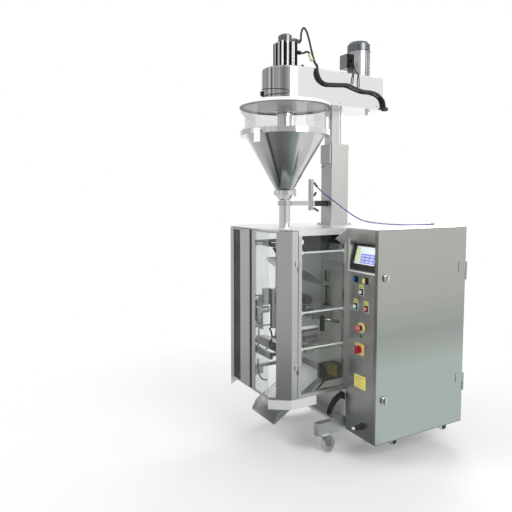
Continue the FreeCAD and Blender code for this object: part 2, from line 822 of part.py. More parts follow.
def forming_shoulder():
    half = Part.makeLoft([shoulder_section(angle) for angle in range(0, 177, 16)], True, False)
    tab_x = 120.0
    back = shoulder_wing_mid + 0.80 * shoulder_wing_y
    tab = box(tab_x, tab_x + 40, back, wall_y, shoulder_edge_low + 4, shoulder_edge_low + 34)
    return fuse(half, mirrored(half), tab, mirrored(tab))


def stadium(radius, y0, y1):
    """A rounded plan round the two belt pulleys of the right unit, carried from y0 to y1."""
    middle = box(belt_x - radius, belt_x + radius, y0, y1, belt_z_bottom, belt_z_top)
    ends = [rod(radius, (belt_x, y0, z), (belt_x, y1, z)) for z in (belt_z_bottom, belt_z_top)]
    return fuse(middle, *ends)


def belt_unit():
    """The right-hand carrier with its pins, idler, belt and rail block."""
    half = belt_w / 2
    inner = pulley_r + face_gap
    belt = stadium(inner + belt_t, -half, half).cut(stadium(inner, -half - 1, half + 1))
    plate_y = half + 4
    plate = stadium(pulley_r - 4, plate_y, plate_y + 8)
    idler = rod(pulley_r, (belt_x, -half, belt_z_bottom), (belt_x, half, belt_z_bottom))
    idler_pin = rod(axle_r, (belt_x, half, belt_z_bottom), (belt_x, plate_y, belt_z_bottom))
    drive_pin = rod(axle_r, (belt_x, -half - 4, belt_z_top), (belt_x, plate_y, belt_z_top))
    reach = box(belt_x - 15, belt_x + 15, plate_y + 8, rail_y - 15, rail_zs[0], rail_zs[1])
    block = box(belt_x - 22, belt_x + 22, rail_y - 15, rail_y + 15, rail_zs[0] - 18, rail_zs[1] + 18)
    for z in rail_zs:
        block = block.cut(rod(rail_r + run_fit, (belt_x - 30, rail_y, z), (belt_x + 30, rail_y, z)))
    shoe = box(tube_r + belt_gap + belt_t + 0.1, tube_r + belt_gap + belt_t + 8, -half, half,
               belt_z_bottom + pulley_r + 6, belt_z_top - pulley_r - 6)
    arm = box(tube_r + belt_gap + belt_t + 2, belt_x, half, plate_y, rail_zs[0] - 10, rail_zs[1] + 10)
    carrier = fuse(plate, idler_pin, drive_pin, idler, reach, block, shoe, arm)
    return [carrier, belt, belt_drive(plate_y + 8), belt_motor(plate_y + 8)]


def belt_drive(y0):
    """The gear case behind the drive pulley, with its cover's rim."""
    z = belt_z_top + 10
    case = box(belt_x - drive_half, belt_x + drive_half, y0, y0 + drive_depth, z - drive_half + 8, z + drive_half)
    case = case.makeFillet(5, [edge for edge in case.Edges if abs(edge.tangentAt(edge.FirstParameter).y) > 0.9])
    return case.cut(box(belt_x - drive_half - 1, belt_x + drive_half + 1, y0 + 20, y0 + 22, z - 40, z + 40).cut(
        box(belt_x - drive_half + 2, belt_x + drive_half - 2, y0 + 19, y0 + 23, z - drive_half + 10, z + drive_half - 2)))


def belt_motor(y0):
    y = y0 + drive_depth / 2
    z = belt_z_top + 14
    x0 = belt_x + drive_half
    outline = [(0, 0), (belt_motor_r - 4, 0), (belt_motor_r - 4, 6), (belt_motor_r, 6),
               (belt_motor_r, belt_motor_end - x0 - 18), (belt_motor_r - 3, belt_motor_end - x0 - 18),
               (belt_motor_r - 3, belt_motor_end - x0), (0, belt_motor_end - x0)]
    return turned_profile(outline, (x0, y, z), (1, 0, 0))


def belt_pulley():
    half = belt_w / 2
    outline = [(axle_r + run_fit, -half - 2), (pulley_r + 3, -half - 2), (pulley_r + 3, -half - 0.4),
               (pulley_r, -half - 0.4), (pulley_r, half + 0.4), (pulley_r + 3, half + 0.4), (pulley_r + 3, half + 2),
               (axle_r + run_fit, half + 2)]
    return turned_profile(outline, (belt_x, 0, belt_z_top), (0, 1, 0))


# Sealing


def vertical_sealer():
    y1 = -tube_r - sealer_gap
    y0 = y1 - sealer_depth
    bar = box(-sealer_w / 2, sealer_w / 2, y0, y1, sealer_z0, sealer_z1)
    bar = bar.makeFillet(3, [edge for edge in bar.Edges if abs(edge.tangentAt(edge.FirstParameter).z) > 0.9])
    slots = [box(-sealer_w / 2 - 1, -sealer_w / 2 + 3, y0 + 8, y1 - 8, z, z + 12) for z in range(790, 1000, 40)]
    return fuse(bar.cut(Part.makeCompound(slots)), rod(7, (0, y0 - 52, sealer_z), (0, y0, sealer_z)))


def jaw(sign):
    """One cross jaw with its end blocks; sign is -1 for the front one."""
    face = sign * jaw_open
    back = sign * (jaw_open + jaw_depth)
    body = box(-jaw_half, jaw_half, min(face, back), max(face, back), jaw_z0, jaw_z1)
    ribs = []
    for step in range(5):
        z = jaw_z0 + 8 + step * 10
        groove = [(face + sign * -1, z), (face + sign * 3, z + 2.5), (face + sign * -1, z + 5)]
        ribs.append(side_prism(groove, -jaw_half - 1, jaw_half + 1))
    body = body.cut(Part.makeCompound(ribs))
    ends = []
    for x0, x1 in ((jaw_half, jaw_rod_x + 25), (-jaw_rod_x - 25, -jaw_half)):
        y0 = min(sign * (jaw_open + 4), sign * (jaw_open + jaw_depth + 10))
        y1 = max(sign * (jaw_open + 4), sign * (jaw_open + jaw_depth + 10))
        ends.append(box(x0, x1, y0, y1, jaw_z - 25, jaw_z + 25))
    joined = fuse(body, *ends)
    for x in (-jaw_rod_x, jaw_rod_x):
        joined = joined.cut(rod(jaw_rod_r + run_fit, (x, -200, jaw_z), (x, 200, jaw_z)))
    if sign > 0:
        joined = joined.fuse(rod(10, (0, back, jaw_z), (0, back + 120, jaw_z)))
    return joined.removeSplitter()


def seal_station():
    pieces = []
    for x in (-jaw_rod_x, jaw_rod_x):
        pieces.append(rod(jaw_rod_r, (x, jaw_front_y, jaw_z), (x, wall_y, jaw_z)))
    pieces.append(box(-jaw_rod_x - 25, jaw_rod_x + 25, jaw_front_y - 20, jaw_front_y, jaw_z - 20, jaw_z + 20))
    jaws = fuse(*pieces)
    bore_end = jaw_open + jaw_depth + 140
    cylinder = rod(32, (0, 150, jaw_z), (0, wall_y, jaw_z)).cut(rod(10 + run_fit, (0, 149, jaw_z), (0, bore_end, jaw_z)))
    rails = [rod(rail_r, (-rail_end, rail_y, z), (rail_end, rail_y, z)) for z in rail_zs]
    for x0 in (-rail_end - 15, rail_end - 5):
        rails.append(box(x0, x0 + 20, rail_y - 15, wall_y, rail_zs[0] - 20, rail_zs[1] + 20))
    sealer_back = -tube_r - sealer_gap - sealer_depth
    arm_y = sealer_back - 112
    arm = fuse(box(-235, -205, arm_y, wall_y, sealer_z - 20, sealer_z + 20),
               box(-235, 25, arm_y, arm_y + 25, sealer_z - 20, sealer_z + 20),
               rod(22, (0, arm_y + 25, sealer_z), (0, arm_y + 90, sealer_z)))
    arm = arm.cut(rod(7 + run_fit, (0, sealer_back - 75, sealer_z), (0, sealer_back, sealer_z)))
    x0 = body_half - valve_inset
    coils = [box(x0 + 12 + 18 * i, x0 + 24 + 18 * i, 122, 131, valve_z0 + 18, valve_z0 + valve_h - 10) for i in range(4)]
    valves = fuse(box(x0, x0 + 90, 130, wall_y, valve_z0, valve_z0 + valve_h), *coils)
    x, z0, z1 = sensor_x, sensor_z0, sensor_z1
    sensor = fuse(box(x - 16, x + 16, wall_y - 28, wall_y, z0, z0 + 37), rod(6, (x, wall_y - 12, z0 + 37), (x, wall_y - 12, z1)),
                  box(x - 10, x + 10, wall_y - 22, wall_y, z1 - 12, z1 + 4))
    return [jaws, cylinder, fuse(*rails), arm, valves, sensor]


def inner_hoses():
    """Two air hoses that hang in loops from the sealer's arm and the valve block, and the supply cables."""
    front = [(-40, -202, 880), (-41, -202, 822), (-55, -201, 772), (-90, -196, 738), (-140, -186, 745),
             (-185, -170, 785), (-212, -156, 830), (-220, -150, 880)]
    x = body_half - valve_inset
    low = [(x + 15, 175, 462), (x + 12, 165, 420), (x - 10, 140, 385), (x + 5, 100, 365), (x + 40, 90, 390),
           (x + 62, 110, 430), (x + 68, 140, 462)]
    return [cord(front, 5, "front hose"), cord(low, 6, "lower hose"), supply_cable(0), supply_cable(1)]


def supply_cable(index):
    """A cable from the back wall down to the frame's front channel."""
    x = body_half - 34 - 17 * index
    points = [(x, wall_y, 352), (x - 1, wall_y - 24, 350), (x - 5, wall_y - 44, 338), (x - 12, wall_y - 58, 316),
              (x - 24, wall_y - 66, 288), (x - 40, 192, 256), (x - 48, 192, channel_top)]
    return cord(points, 6.0, "supply cable")


# Film path


def film_roller():
    inner = body_half - post_w
    roller = rod(roller_r, (-inner + 6, roller_y, roller_z), (inner - 6, roller_y, roller_z))
    return roller.fuse(rod(journal_r, (-inner - 8, roller_y, roller_z), (inner + 8, roller_y, roller_z)))


def reel_shaft():
    inner = body_half - post_w
    shaft = rod(reel_r, (-inner - 12, stand_y, stand_z), (inner + 12, stand_y, stand_z))
    cone = turned_profile([(reel_r, 0), (60, 0), (60, 10), (36, 50), (30, 50), (30, 62), (reel_r, 62)],
                          (body_half - 122, stand_y, stand_z), (-1, 0, 0))
    return fuse(shaft, cone, mirrored(cone))


def dancer_arm():
    y = rear_post_y + post_w / 2
    inner = body_half - post_w
    far_y = y + dancer_reach
    far_z = dancer_z - dancer_drop
    arm = side_prism([(y - 14, dancer_z - 14), (y - 14, dancer_z + 14), (y + 14, dancer_z + 14),
                      (far_y + 12, far_z + 12), (far_y + 12, far_z - 12), (y + 8, dancer_z - 14)], inner - 12, inner - 4)
    pin = rod(journal_r, (inner - 12, y, dancer_z), (inner + 8, y, dancer_z))
    bar = rod(roller_r, (-inner + 12, far_y, far_z), (inner - 12, far_y, far_z))
    return fuse(arm, pin, mirrored(arm), mirrored(pin), bar)


# Lift column


def column():
    post = box(-col_half, col_half, col_y0, col_y0 + col_d, roof_z, col_z1)
    post = post.cut(box(col_wall - col_half, col_half - col_wall, col_y0 + col_wall, col_y0 + col_d - col_wall,
                        roof_z - 1, col_z1 + 1))
    foot = box(-col_half - foot_plate, col_half + foot_plate, col_y0 - foot_plate, col_y0 + col_d + foot_plate,
               roof_z, roof_z + foot_plate_t)
    post = post.fuse(foot.cut(box(-col_half + 1, col_half - 1, col_y0 + 1, col_y0 + col_d - 1, roof_z - 1,
                                  roof_z + foot_plate_t + 1)))
    cap = box(-col_half - 1, col_half + 1, col_y0 - 1, col_y0 + col_d + 1, col_z1, cap_z1)
    fit = 0.1
    cap = cap.cut(box(-mast_half - fit, mast_half + fit, mast_y0 - fit, mast_y0 + mast_d + fit, col_z1 - 1, cap_z1 + 1))
    cap = cap.cut(rod(screw_r + fit, (*screw_at, col_z1 - 1), (*screw_at, cap_z1 + 1)))
    plate = box(-52, 51, col_y0 - 13, col_y0 - 1, 1856, cap_z1 - 4)
    heel = box(-52, 51, col_y0 - 1, col_y0, 1856, col_z1)
    return [post, cap, plate.fuse(heel)]


def mast():
    post = box(-mast_half, mast_half, mast_y0, mast_y0 + mast_d, mast_z0, arm_z0)
    wall = col_wall
    post = post.cut(box(wall - mast_half, mast_half - wall, mast_y0 + wall, mast_y0 + mast_d - wall, mast_z0 - 1,
                        arm_z0 - 8))
    head = box(-mast_half - 14, mast_half + 14, mast_y0 - 14, mast_y0 + mast_d + 14, arm_z0 - 10, arm_z0)
    screw = rod(screw_r, (*screw_at, mast_z0 - 60), (*screw_at, arm_z0 - 10))
    return [post.fuse(head), screw]


# Filler arm


def arm_outline(radius, end_y, z, corner):
    """The arm's plan: a round nose about the filling axis and a square tail with rounded corners."""
    left = V(-radius, 0, z)
    nose = V(0, -radius, z)
    right = V(radius, 0, z)
    diagonal = corner * (1 - math.sqrt(0.5))
    edges = [Part.Arc(left, nose, right).toShape(),
             Part.LineSegment(right, V(radius, end_y - corner, z)).toShape(),
             Part.Arc(V(radius, end_y - corner, z), V(radius - diagonal, end_y - diagonal, z),
                      V(radius - corner, end_y, z)).toShape(),
             Part.LineSegment(V(radius - corner, end_y, z), V(corner - radius, end_y, z)).toShape(),
             Part.Arc(V(corner - radius, end_y, z), V(diagonal - radius, end_y - diagonal, z),
                      V(-radius, end_y - corner, z)).toShape(),
             Part.LineSegment(V(-radius, end_y - corner, z), left).toShape()]
    return Part.Face(Part.Wire(edges))


def arm_housing():
    outer = arm_outline(arm_r, arm_end_y, arm_z0, arm_corner).extrude(V(0, 0, arm_z1 - arm_z0))
    rim = [edge for edge in outer.Edges if abs(edge.BoundBox.ZMin - arm_z1) < 0.01]
    outer = outer.makeFillet(arm_edge, rim)
    inner = arm_outline(arm_r - arm_sheet, arm_end_y - arm_sheet, arm_z0 + arm_plate, arm_corner - arm_sheet)
    inner = inner.extrude(V(0, 0, arm_z1 - arm_sheet - arm_z0 - arm_plate))
    housing = outer.cut(inner)
    housing = housing.cut(rod(hub_r + run_fit, (0, 0, arm_z0 - 1), (0, 0, arm_z0 + arm_plate + 1)))
    for y in (0, stir_y):
        housing = housing.cut(rod(30, (0, y, arm_z1 - 5), (0, y, arm_z1 + 1)))
    boss = rod(20, (60, stir_y + 35, arm_z0 - 28), (60, stir_y + 35, arm_z0))
    return fuse(housing, boss)


def servo_motor():
    z0 = arm_z1
    body = box(-servo_half, servo_half, -servo_half, servo_half, z0 + 12, z0 + 12 + servo_h)
    grooves = []
    for step in range(6):
        across = -servo_half + 12 + step * 16
        for angle in (0, 90, 180, 270):
            groove = box(across, across + 7, -servo_half - 1, -servo_half + 6, z0 + 22, z0 + 4 + servo_h)
            grooves.append(turned(groove, angle))
    body = body.cut(Part.makeCompound(grooves))
    flange = box(-servo_half - 8, servo_half + 8, -servo_half - 8, servo_half + 8, z0, z0 + 12)
    top = z0 + 12 + servo_h
    cap = turned_profile([(0, 0), (servo_cap_r, 0), (servo_cap_r, servo_cap_h - 10), (servo_cap_r - 12, servo_cap_h),
                          (0, servo_cap_h)], (0, 0, top))
    upper = fuse(box(-18, 18, 30, 78, top + 4, top + 34), rod(13, (15, 70, top + 19), (15, 100, top + 19)))
    lower = fuse(box(-18, 18, servo_half - 1, servo_half + 22, top - 66, top - 36),
                 rod(13, (15, servo_half + 20, top - 51), (15, servo_half + 48, top - 51)))
    pilot = rod(29.7, (0, 0, z0 - arm_sheet), (0, 0, z0))
    return fuse(body, flange, cap, upper, lower, pilot)


def stirring_motor():
    z0 = arm_z1
    frame = turned_profile([(0, -arm_sheet), (29.7, -arm_sheet), (29.7, 0), (stir_r + 4, 0), (stir_r + 4, 10),
                            (stir_r - 4, 16), (stir_r - 4, stir_h), (0, stir_h)], (0, stir_y, z0))
    fins = []
    for angle in range(0, 360, 15):
        fin = box(stir_r - 8, stir_r, -2, 2, z0 + 22, z0 + stir_h - 6)
        fins.append(moved(turned(fin, angle), y=stir_y))
    cowl = turned_profile([(0, stir_h), (cowl_r, stir_h), (cowl_r, stir_h + cowl_h - 18),
                           (cowl_r - 14, stir_h + cowl_h), (0, stir_h + cowl_h)], (0, stir_y, z0))
    box_y = stir_y - stir_r
    terminal = box(-38, 42, box_y - 58, box_y + 12, z0 + 62, z0 + 158)
    terminal = terminal.makeFillet(6, [edge for edge in terminal.Edges
                                       if abs(edge.tangentAt(edge.FirstParameter).y) > 0.9])
    glands = [rod(8, (41, y, z), (55, y, z)) for y, z in terminal_glands]
    return fuse(frame, *fins, cowl, terminal, *glands)


# Hopper


def hopper_lid():
    outline = [(hub_r + 1, ring_z1), (ring_r + 0.5, ring_z1), (ring_r + 0.5, lid_z - lid_rim_h),
               (lid_r, lid_z - lid_rim_h), (lid_r, lid_z - 2), (lid_r - 2, lid_z), (hub_r + 1, lid_z)]
    lid = turned_profile(outline)
    stub = pipe(inlet_r, inlet_r - 5, (inlet_x, 0, lid_z), (inlet_x, 0, lid_z + inlet_h))
    bead = pipe(inlet_r + 5, inlet_r, (inlet_x, 0, lid_z + inlet_h - 8), (inlet_x, 0, lid_z + inlet_h))
    return fuse(lid, stub, bead).cut(rod(inlet_r - 5, (inlet_x, 0, ring_z1 - 1), (inlet_x, 0, lid_z + 1)))


def hopper_ring():
    ring = pipe(ring_r, ring_r - ring_t, (0, 0, ring_z0), (0, 0, ring_z1))
    seam = pipe(ring_r + seam_t, ring_r, (0, 0, flange_z1 + face_gap), (0, 0, lid_z - lid_rim_h - face_gap))
    seam = seam.common(box(0, ring_r + 10, -seam_w / 2, seam_w / 2, ring_z0, ring_z1))
    return ring.fuse([turned(seam, angle) for angle in seam_angles])


def cone_inner(z):
    """The cone's inside radius at a height."""
    share = (z - neck_z) / (cone_z1 - neck_z)
    return neck_r + share * (cone_r - neck_r) - cone_t * 1.15


def on_flange(shape):
    """Turns a piece drawn at the +X side of the flange to the latch's place."""
    return turned(shape, latch_angle)


def hopper_cone():
    outline = [(neck_r - 6, ferrule_z), (ferrule_r, ferrule_z), (ferrule_r, ferrule_z + ferrule_t),
               (neck_r, neck_z - 6), (neck_r, neck_z), (cone_r, cone_z1), (flange_r, cone_z1), (flange_r, flange_z1),
               (ring_r + 0.5, flange_z1), (ring_r + 0.5, ring_z0), (cone_inner(ring_z0), ring_z0),
               (cone_inner(neck_z), neck_z), (neck_r - 6, neck_z - 6)]
    cone = turned_profile(outline)
    ear = box(flange_r - 1, flange_r + latch_out, -15, 15, latch_z - ear_r, latch_z + ear_r)
    ear = ear.fuse(rod(ear_r, (flange_r + latch_out, -15, latch_z), (flange_r + latch_out, 15, latch_z)))
    ear = ear.cut(rod(latch_pin_r + run_fit, (flange_r + latch_out, -16, latch_z), (flange_r + latch_out, 16, latch_z)))
    return cone.fuse(on_flange(ear))


def hopper_latch():
    axis_x = flange_r + latch_out
    cheek_r = ear_r - 1
    plate = box(axis_x + ear_r + 0.5, axis_x + ear_r + 5.5, -22, 22, latch_z - 80, latch_z + 4)
    pin = rod(latch_pin_r, (axis_x, -19, latch_z), (axis_x, 19, latch_z))
    foot = box(axis_x + ear_r + 5, axis_x + ear_r + 14, -22, 22, latch_z - 80, latch_z - 75)
    cheeks = []
    for y in (15.4, -18.4):
        cheeks.append(box(axis_x, axis_x + ear_r + 1, y, y + 3, latch_z - cheek_r, latch_z + 4))
        cheeks.append(rod(cheek_r, (axis_x, y, latch_z), (axis_x, y + 3, latch_z)))
    return on_flange(fuse(plate, pin, foot, *cheeks))


def spout():
    wide_z = ferrule_z - ferrule_t - 8
    narrow_z = wide_z - 32
    outline = [(spout_r - spout_t, spout_z0), (spout_r, spout_z0), (spout_r, narrow_z), (neck_r, wide_z),
               (neck_r, ferrule_z - ferrule_t - 2), (ferrule_r, ferrule_z - ferrule_t), (ferrule_r, ferrule_z),
               (neck_r - 6, ferrule_z), (neck_r - 6, wide_z + 2), (spout_r - spout_t, narrow_z + 2)]
    tube = turned_profile(outline)
    clamp = pipe(clamp_r, ferrule_r + 0.2, (0, 0, ferrule_z - 15), (0, 0, ferrule_z + 15))
    screw = rod(6, (clamp_r - 3, 0, ferrule_z - 24), (clamp_r - 3, 0, ferrule_z + 24))
    return [tube, clamp, turned(screw.cut(rod(clamp_r, (0, 0, ferrule_z - 15), (0, 0, ferrule_z + 15))), 60)]


def auger():
    shaft = rod(auger_shaft_r, (0, 0, spout_z0 + 12), (0, 0, arm_z1 - arm_sheet - face_gap))
    height = auger_pitch * auger_turns
    z0 = spout_z0 + 16
    helix = Part.makeHelix(auger_pitch, height, auger_r)
    profile = Part.makePolygon([V(auger_shaft_r - 2, 0, 0), V(auger_r, 0, 0), V(auger_r, 0, auger_flight_t),
                                V(auger_shaft_r - 2, 0, auger_flight_t), V(auger_shaft_r - 2, 0, 0)])
    flight = Part.Wire(helix.Edges).makePipeShell([profile], True, True)
    return shaft.fuse(moved(flight, z=z0))


def agitator():
    top = arm_z0 + arm_plate + 30
    under = cone_z1 + blade_z0
    over = under + blade_h
    hub = pipe(hub_r, hub_r - hub_t, (0, 0, under), (0, 0, top))
    collars = [pipe(hub_r + 9, hub_r - 1, (0, 0, arm_z0 - drop), (0, 0, arm_z0 - drop + 12)) for drop in collar_drops]
    wheel = pipe(hub_r + 25, hub_r - 1, (0, 0, top - 12), (0, 0, top - 2))
    low = neck_z + 28
    high = cone_z1 - 10
    outer = [(cone_inner(high) - scraper_gap, over), (cone_inner(high) - scraper_gap, high),
             (cone_inner(low) - scraper_gap, low)]
    inner = [(cone_inner(low) - 28, low + 10), (cone_inner(high) - 32, high - 8), (cone_inner(high) - 32, under),
             (hub_r - 3, under), (hub_r - 3, over)]
    blade = front_prism(outer + inner, -scraper_t / 2, scraper_t / 2)
    return fuse(hub, *collars, wheel, blade, turned(blade, 180))


# Stay, tube and cables


def spout_stay():
    """The rod that steadies the spout, its air manifold with fittings, and its clamp on the column."""
    ring = pipe(spout_r + 9, spout_r + 0.1, (0, 0, stay_z0), (0, 0, stay_z1))
    bar = box(-9, 9, spout_r + 5, manifold_y - manifold_r + 3, stay_z0, stay_z1)
    tube = rod(manifold_r, (0, manifold_y, manifold_z0), (0, manifold_y, manifold_z1))
    stay = fuse(ring, bar, tube)
    block = box(-22, 22, manifold_y, col_y0, stay_z0 - 5, stay_z1 + 1)
    block = block.cut(rod(manifold_r, (0, manifold_y, stay_z0 - 6), (0, manifold_y, stay_z1 + 2)))
    side = manifold_y + manifold_r
    fittings = []
    ends = (((2, side - 2, 1726), (4, side + 8, 1724), blue_start),
            ((2, side - 2, 1640), (3, side + 10, 1640), (8, side + 20, 1662)),
            ((2, side - 2, 1552), (3, side + 10, 1552), (8, side + 40, 1534)))
    for root, knee, end in ends:
        fittings.append(fuse(rod(7, root, knee), Part.makeSphere(7, V(*knee)), rod(7, knee, end)))
    return [stay, block] + fittings


def blue_air_tube():
    """The air tube that hangs from the manifold and lies along the cabinet's roof."""
    points = [blue_start, (32, 278, 1662), (50, 298, 1641), (70, 317, 1621), (92, 344, 1595), (114, 369, 1568),
              (138, 391, 1544), (164, 412, 1521), (195, 438, 1495), (228, 462, 1475), (262, 501, 1463),
              (294, 560, 1455), (318, 635, 1449), (335, 720, 1444), (344, 812, 1441.3), (346, 905, 1441.3),
              (346, 985, 1441.3)]
    return cord(points, blue_r, "blue air tube")


def cable_bundle():
    """The motors' cables, clipped along the arm, with the block that takes them at its end."""
    upper = [(15, 98, 2629), (15, 110, 2636), (15, 111, 2690), (16, 130, 2728), (18, 153, 2700), (21, 170, 2650),
             (32, 179, 2590), (60, 176, 2530), (112, 161, 2468), (146, 146, 2450), (158.5, 132, 2408),
             (158.5, 152, 2368), (158.5, 205, 2349), (158.5, 300, 2356), (158.5, 384, 2364), (158.5, 444, 2347),
             (158.5, 512, 2333), (158.5, 590, 2336), (158.5, 652, 2322), (158.5, 686, 2290), (158.5, 696, 2236)]
    lower = [(15, 102, 2559), (15, 128, 2559), (24, 148, 2572), (42, 160, 2560), (64, 161, 2532), (117, 148, 2476),
             (155, 141, 2458), (172.5, 132, 2408), (172.5, 152, 2366), (169, 205, 2338), (169, 300, 2345),
             (169, 384, 2353), (169, 444, 2336), (169, 512, 2322), (169, 590, 2325), (170, 652, 2311),
             (172.5, 686, 2284), (172.5, 696, 2236)]
    first = [(54, 489, 2512), (68, 482, 2506), (84, 468, 2470), (120, 450, 2456), (152, 436, 2446),
             (160, 428, 2410), (160, 422, 2366)]
    second = [(54, 501, 2553), (72, 500, 2546), (84, 497, 2500), (112, 487, 2458), (150, 478, 2448),
              (160, 475, 2410), (160, 478, 2352)]
    block = box(arm_r, arm_r + 32, arm_end_y - 30, arm_end_y + 2, arm_z0 - 8, arm_z0 + 14)
    return [cord(upper, 6.5, "upper cable"), cord(lower, 6.5, "lower cable"), cord(first, 3.5, "first thin cable"),
            cord(second, 3.5, "second thin cable"), block]


def frame_fasteners():
    """The bolts of the column and of its foot, and the air tube's fitting on the cabinet's roof."""
    heads = []
    for x in (-45, 45):
        heads.append(rod(9, (x, col_y0 - 8, 1835), (x, col_y0, 1835)))
    for x in (-col_half - 10, col_half + 10):
        for y in (col_y0 - 10, col_y0 + col_d + 10):
            heads.append(rod(7, (x, y, roof_z + foot_plate_t), (x, y, roof_z + foot_plate_t + 7)))
    fitting = fuse(rod(9, (346, 1001, roof_z), (346, 1001, roof_z + 15)),
                   rod(6.5, (346, 985.3, roof_z + 6.5), (346, 1001, roof_z + 6.5)))
    return heads + [fitting.cut(box(330, 360, 985, 1012, roof_z - 5, roof_z))]


# Files of the pieces

os.makedirs("parts", exist_ok=True)

export("base_frame", base_frame())
export("levelling_feet", *[levelling_foot(x, y) for x in (-foot_x, foot_x) for y in foot_ys])
for side_name, sign in (("right", 1), ("left", -1)):
    export("swivel_fork_" + side_name, swivel_fork(sign * caster_x))
    export("front_wheel_" + side_name, front_wheel(sign * caster_x))
export("cabinet_shell", cabinet_shell())
export("cabinet_door", cabinet_door())
export("door_lock_upper", door_lock(lock_zs[0]))
export("door_lock_lower", door_lock(lock_zs[1]))
export("electrical_panel", *electrical_panel())
export("touch_screen", touch_screen())
export("control_collars", *control_collars())
export("selector_left", selector(selector_left_at))
export("selector_right", selector(selector_right_at))
export("upper_button", push_button(upper_button_at))
export("start_button", push_button(start_button_at))
export("stop_button", push_button(stop_button_at))
export("emergency_stop", emergency_stop())
export("isolator_knob", isolator_knob())
export("top_plate", top_plate())
export("back_wall", back_wall())
export("side_guards", side_guard(), mirrored(side_guard()))
export("side_panes", side_pane(), mirrored(side_pane()))
export("side_skirts", side_skirt(), mirrored(side_skirt()))
export("front_door_right", front_door(door_free_right, window_right))
export("door_pane_right", door_pane(window_right))
export("front_door_left", mirrored(front_door(-door_free_left, window_left)))
export("door_pane_left", mirrored(door_pane(window_left)))
export("discharge_chute", discharge_chute())
export("forming_tube", *forming_tube())
export("forming_shoulder", forming_shoulder())
export("belt_unit_right", *belt_unit())
export("belt_unit_left", *[mirrored(piece) for piece in belt_unit()])
export("belt_pulley_right", belt_pulley())
export("belt_pulley_left", mirrored(belt_pulley()))
export("vertical_sealer", vertical_sealer())
export("front_jaw", jaw(-1))
export("rear_jaw", jaw(1))
export("seal_station", *seal_station())
export("inner_hoses", *trimmed(inner_hoses(), seal_station(), [back_wall(), base_frame()]))
export("film_roller", film_roller())
export("reel_shaft", reel_shaft())
export("dancer_arm", dancer_arm())
export("column", *column())
export("mast", *mast())
export("arm_housing", arm_housing())
export("servo_motor", servo_motor())
export("stirring_motor", stirring_motor())
export("hopper_lid", hopper_lid())
export("hopper_ring", hopper_ring())
export("hopper_cone", hopper_cone())
export("hopper_latch", hopper_latch())
export("spout", *spout())
export("auger", auger())
export("agitator", agitator())
export("spout_stay", *spout_stay())
export("blue_air_tube", blue_air_tube())
export("cable_bundle", *trimmed(cable_bundle(), [servo_motor(), stirring_motor(), arm_housing()], []))
export("frame_fasteners", *frame_fasteners())
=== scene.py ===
# Powder packaging machine: finishes, small trim, tube and labels, camera, lights and studio.
import math

import bmesh
import bpy
from mathutils import Matrix, Vector


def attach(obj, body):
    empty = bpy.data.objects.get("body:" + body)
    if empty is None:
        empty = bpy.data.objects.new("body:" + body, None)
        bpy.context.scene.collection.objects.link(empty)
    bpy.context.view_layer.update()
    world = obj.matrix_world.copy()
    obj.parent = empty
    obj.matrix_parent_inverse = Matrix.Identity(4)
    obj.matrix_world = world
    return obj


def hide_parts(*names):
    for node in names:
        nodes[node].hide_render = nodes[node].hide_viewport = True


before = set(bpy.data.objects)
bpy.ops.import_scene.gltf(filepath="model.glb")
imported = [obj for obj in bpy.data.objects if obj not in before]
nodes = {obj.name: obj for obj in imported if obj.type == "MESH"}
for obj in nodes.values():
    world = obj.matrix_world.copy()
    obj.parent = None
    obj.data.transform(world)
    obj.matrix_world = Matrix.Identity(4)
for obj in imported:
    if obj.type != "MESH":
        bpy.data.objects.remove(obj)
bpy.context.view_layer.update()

# Places are written in millimetres from the filling axis, x to the right, y to the back, z from the floor
fill_x = 145.5
fill_y = 365.0


def place(x, y, z):
    return Vector(((x - fill_x) / 1000, (y - fill_y) / 1000, z / 1000))


# Node tree helpers
float_kind = "NodeSocketFloat"
vector_kind = "NodeSocketVector"


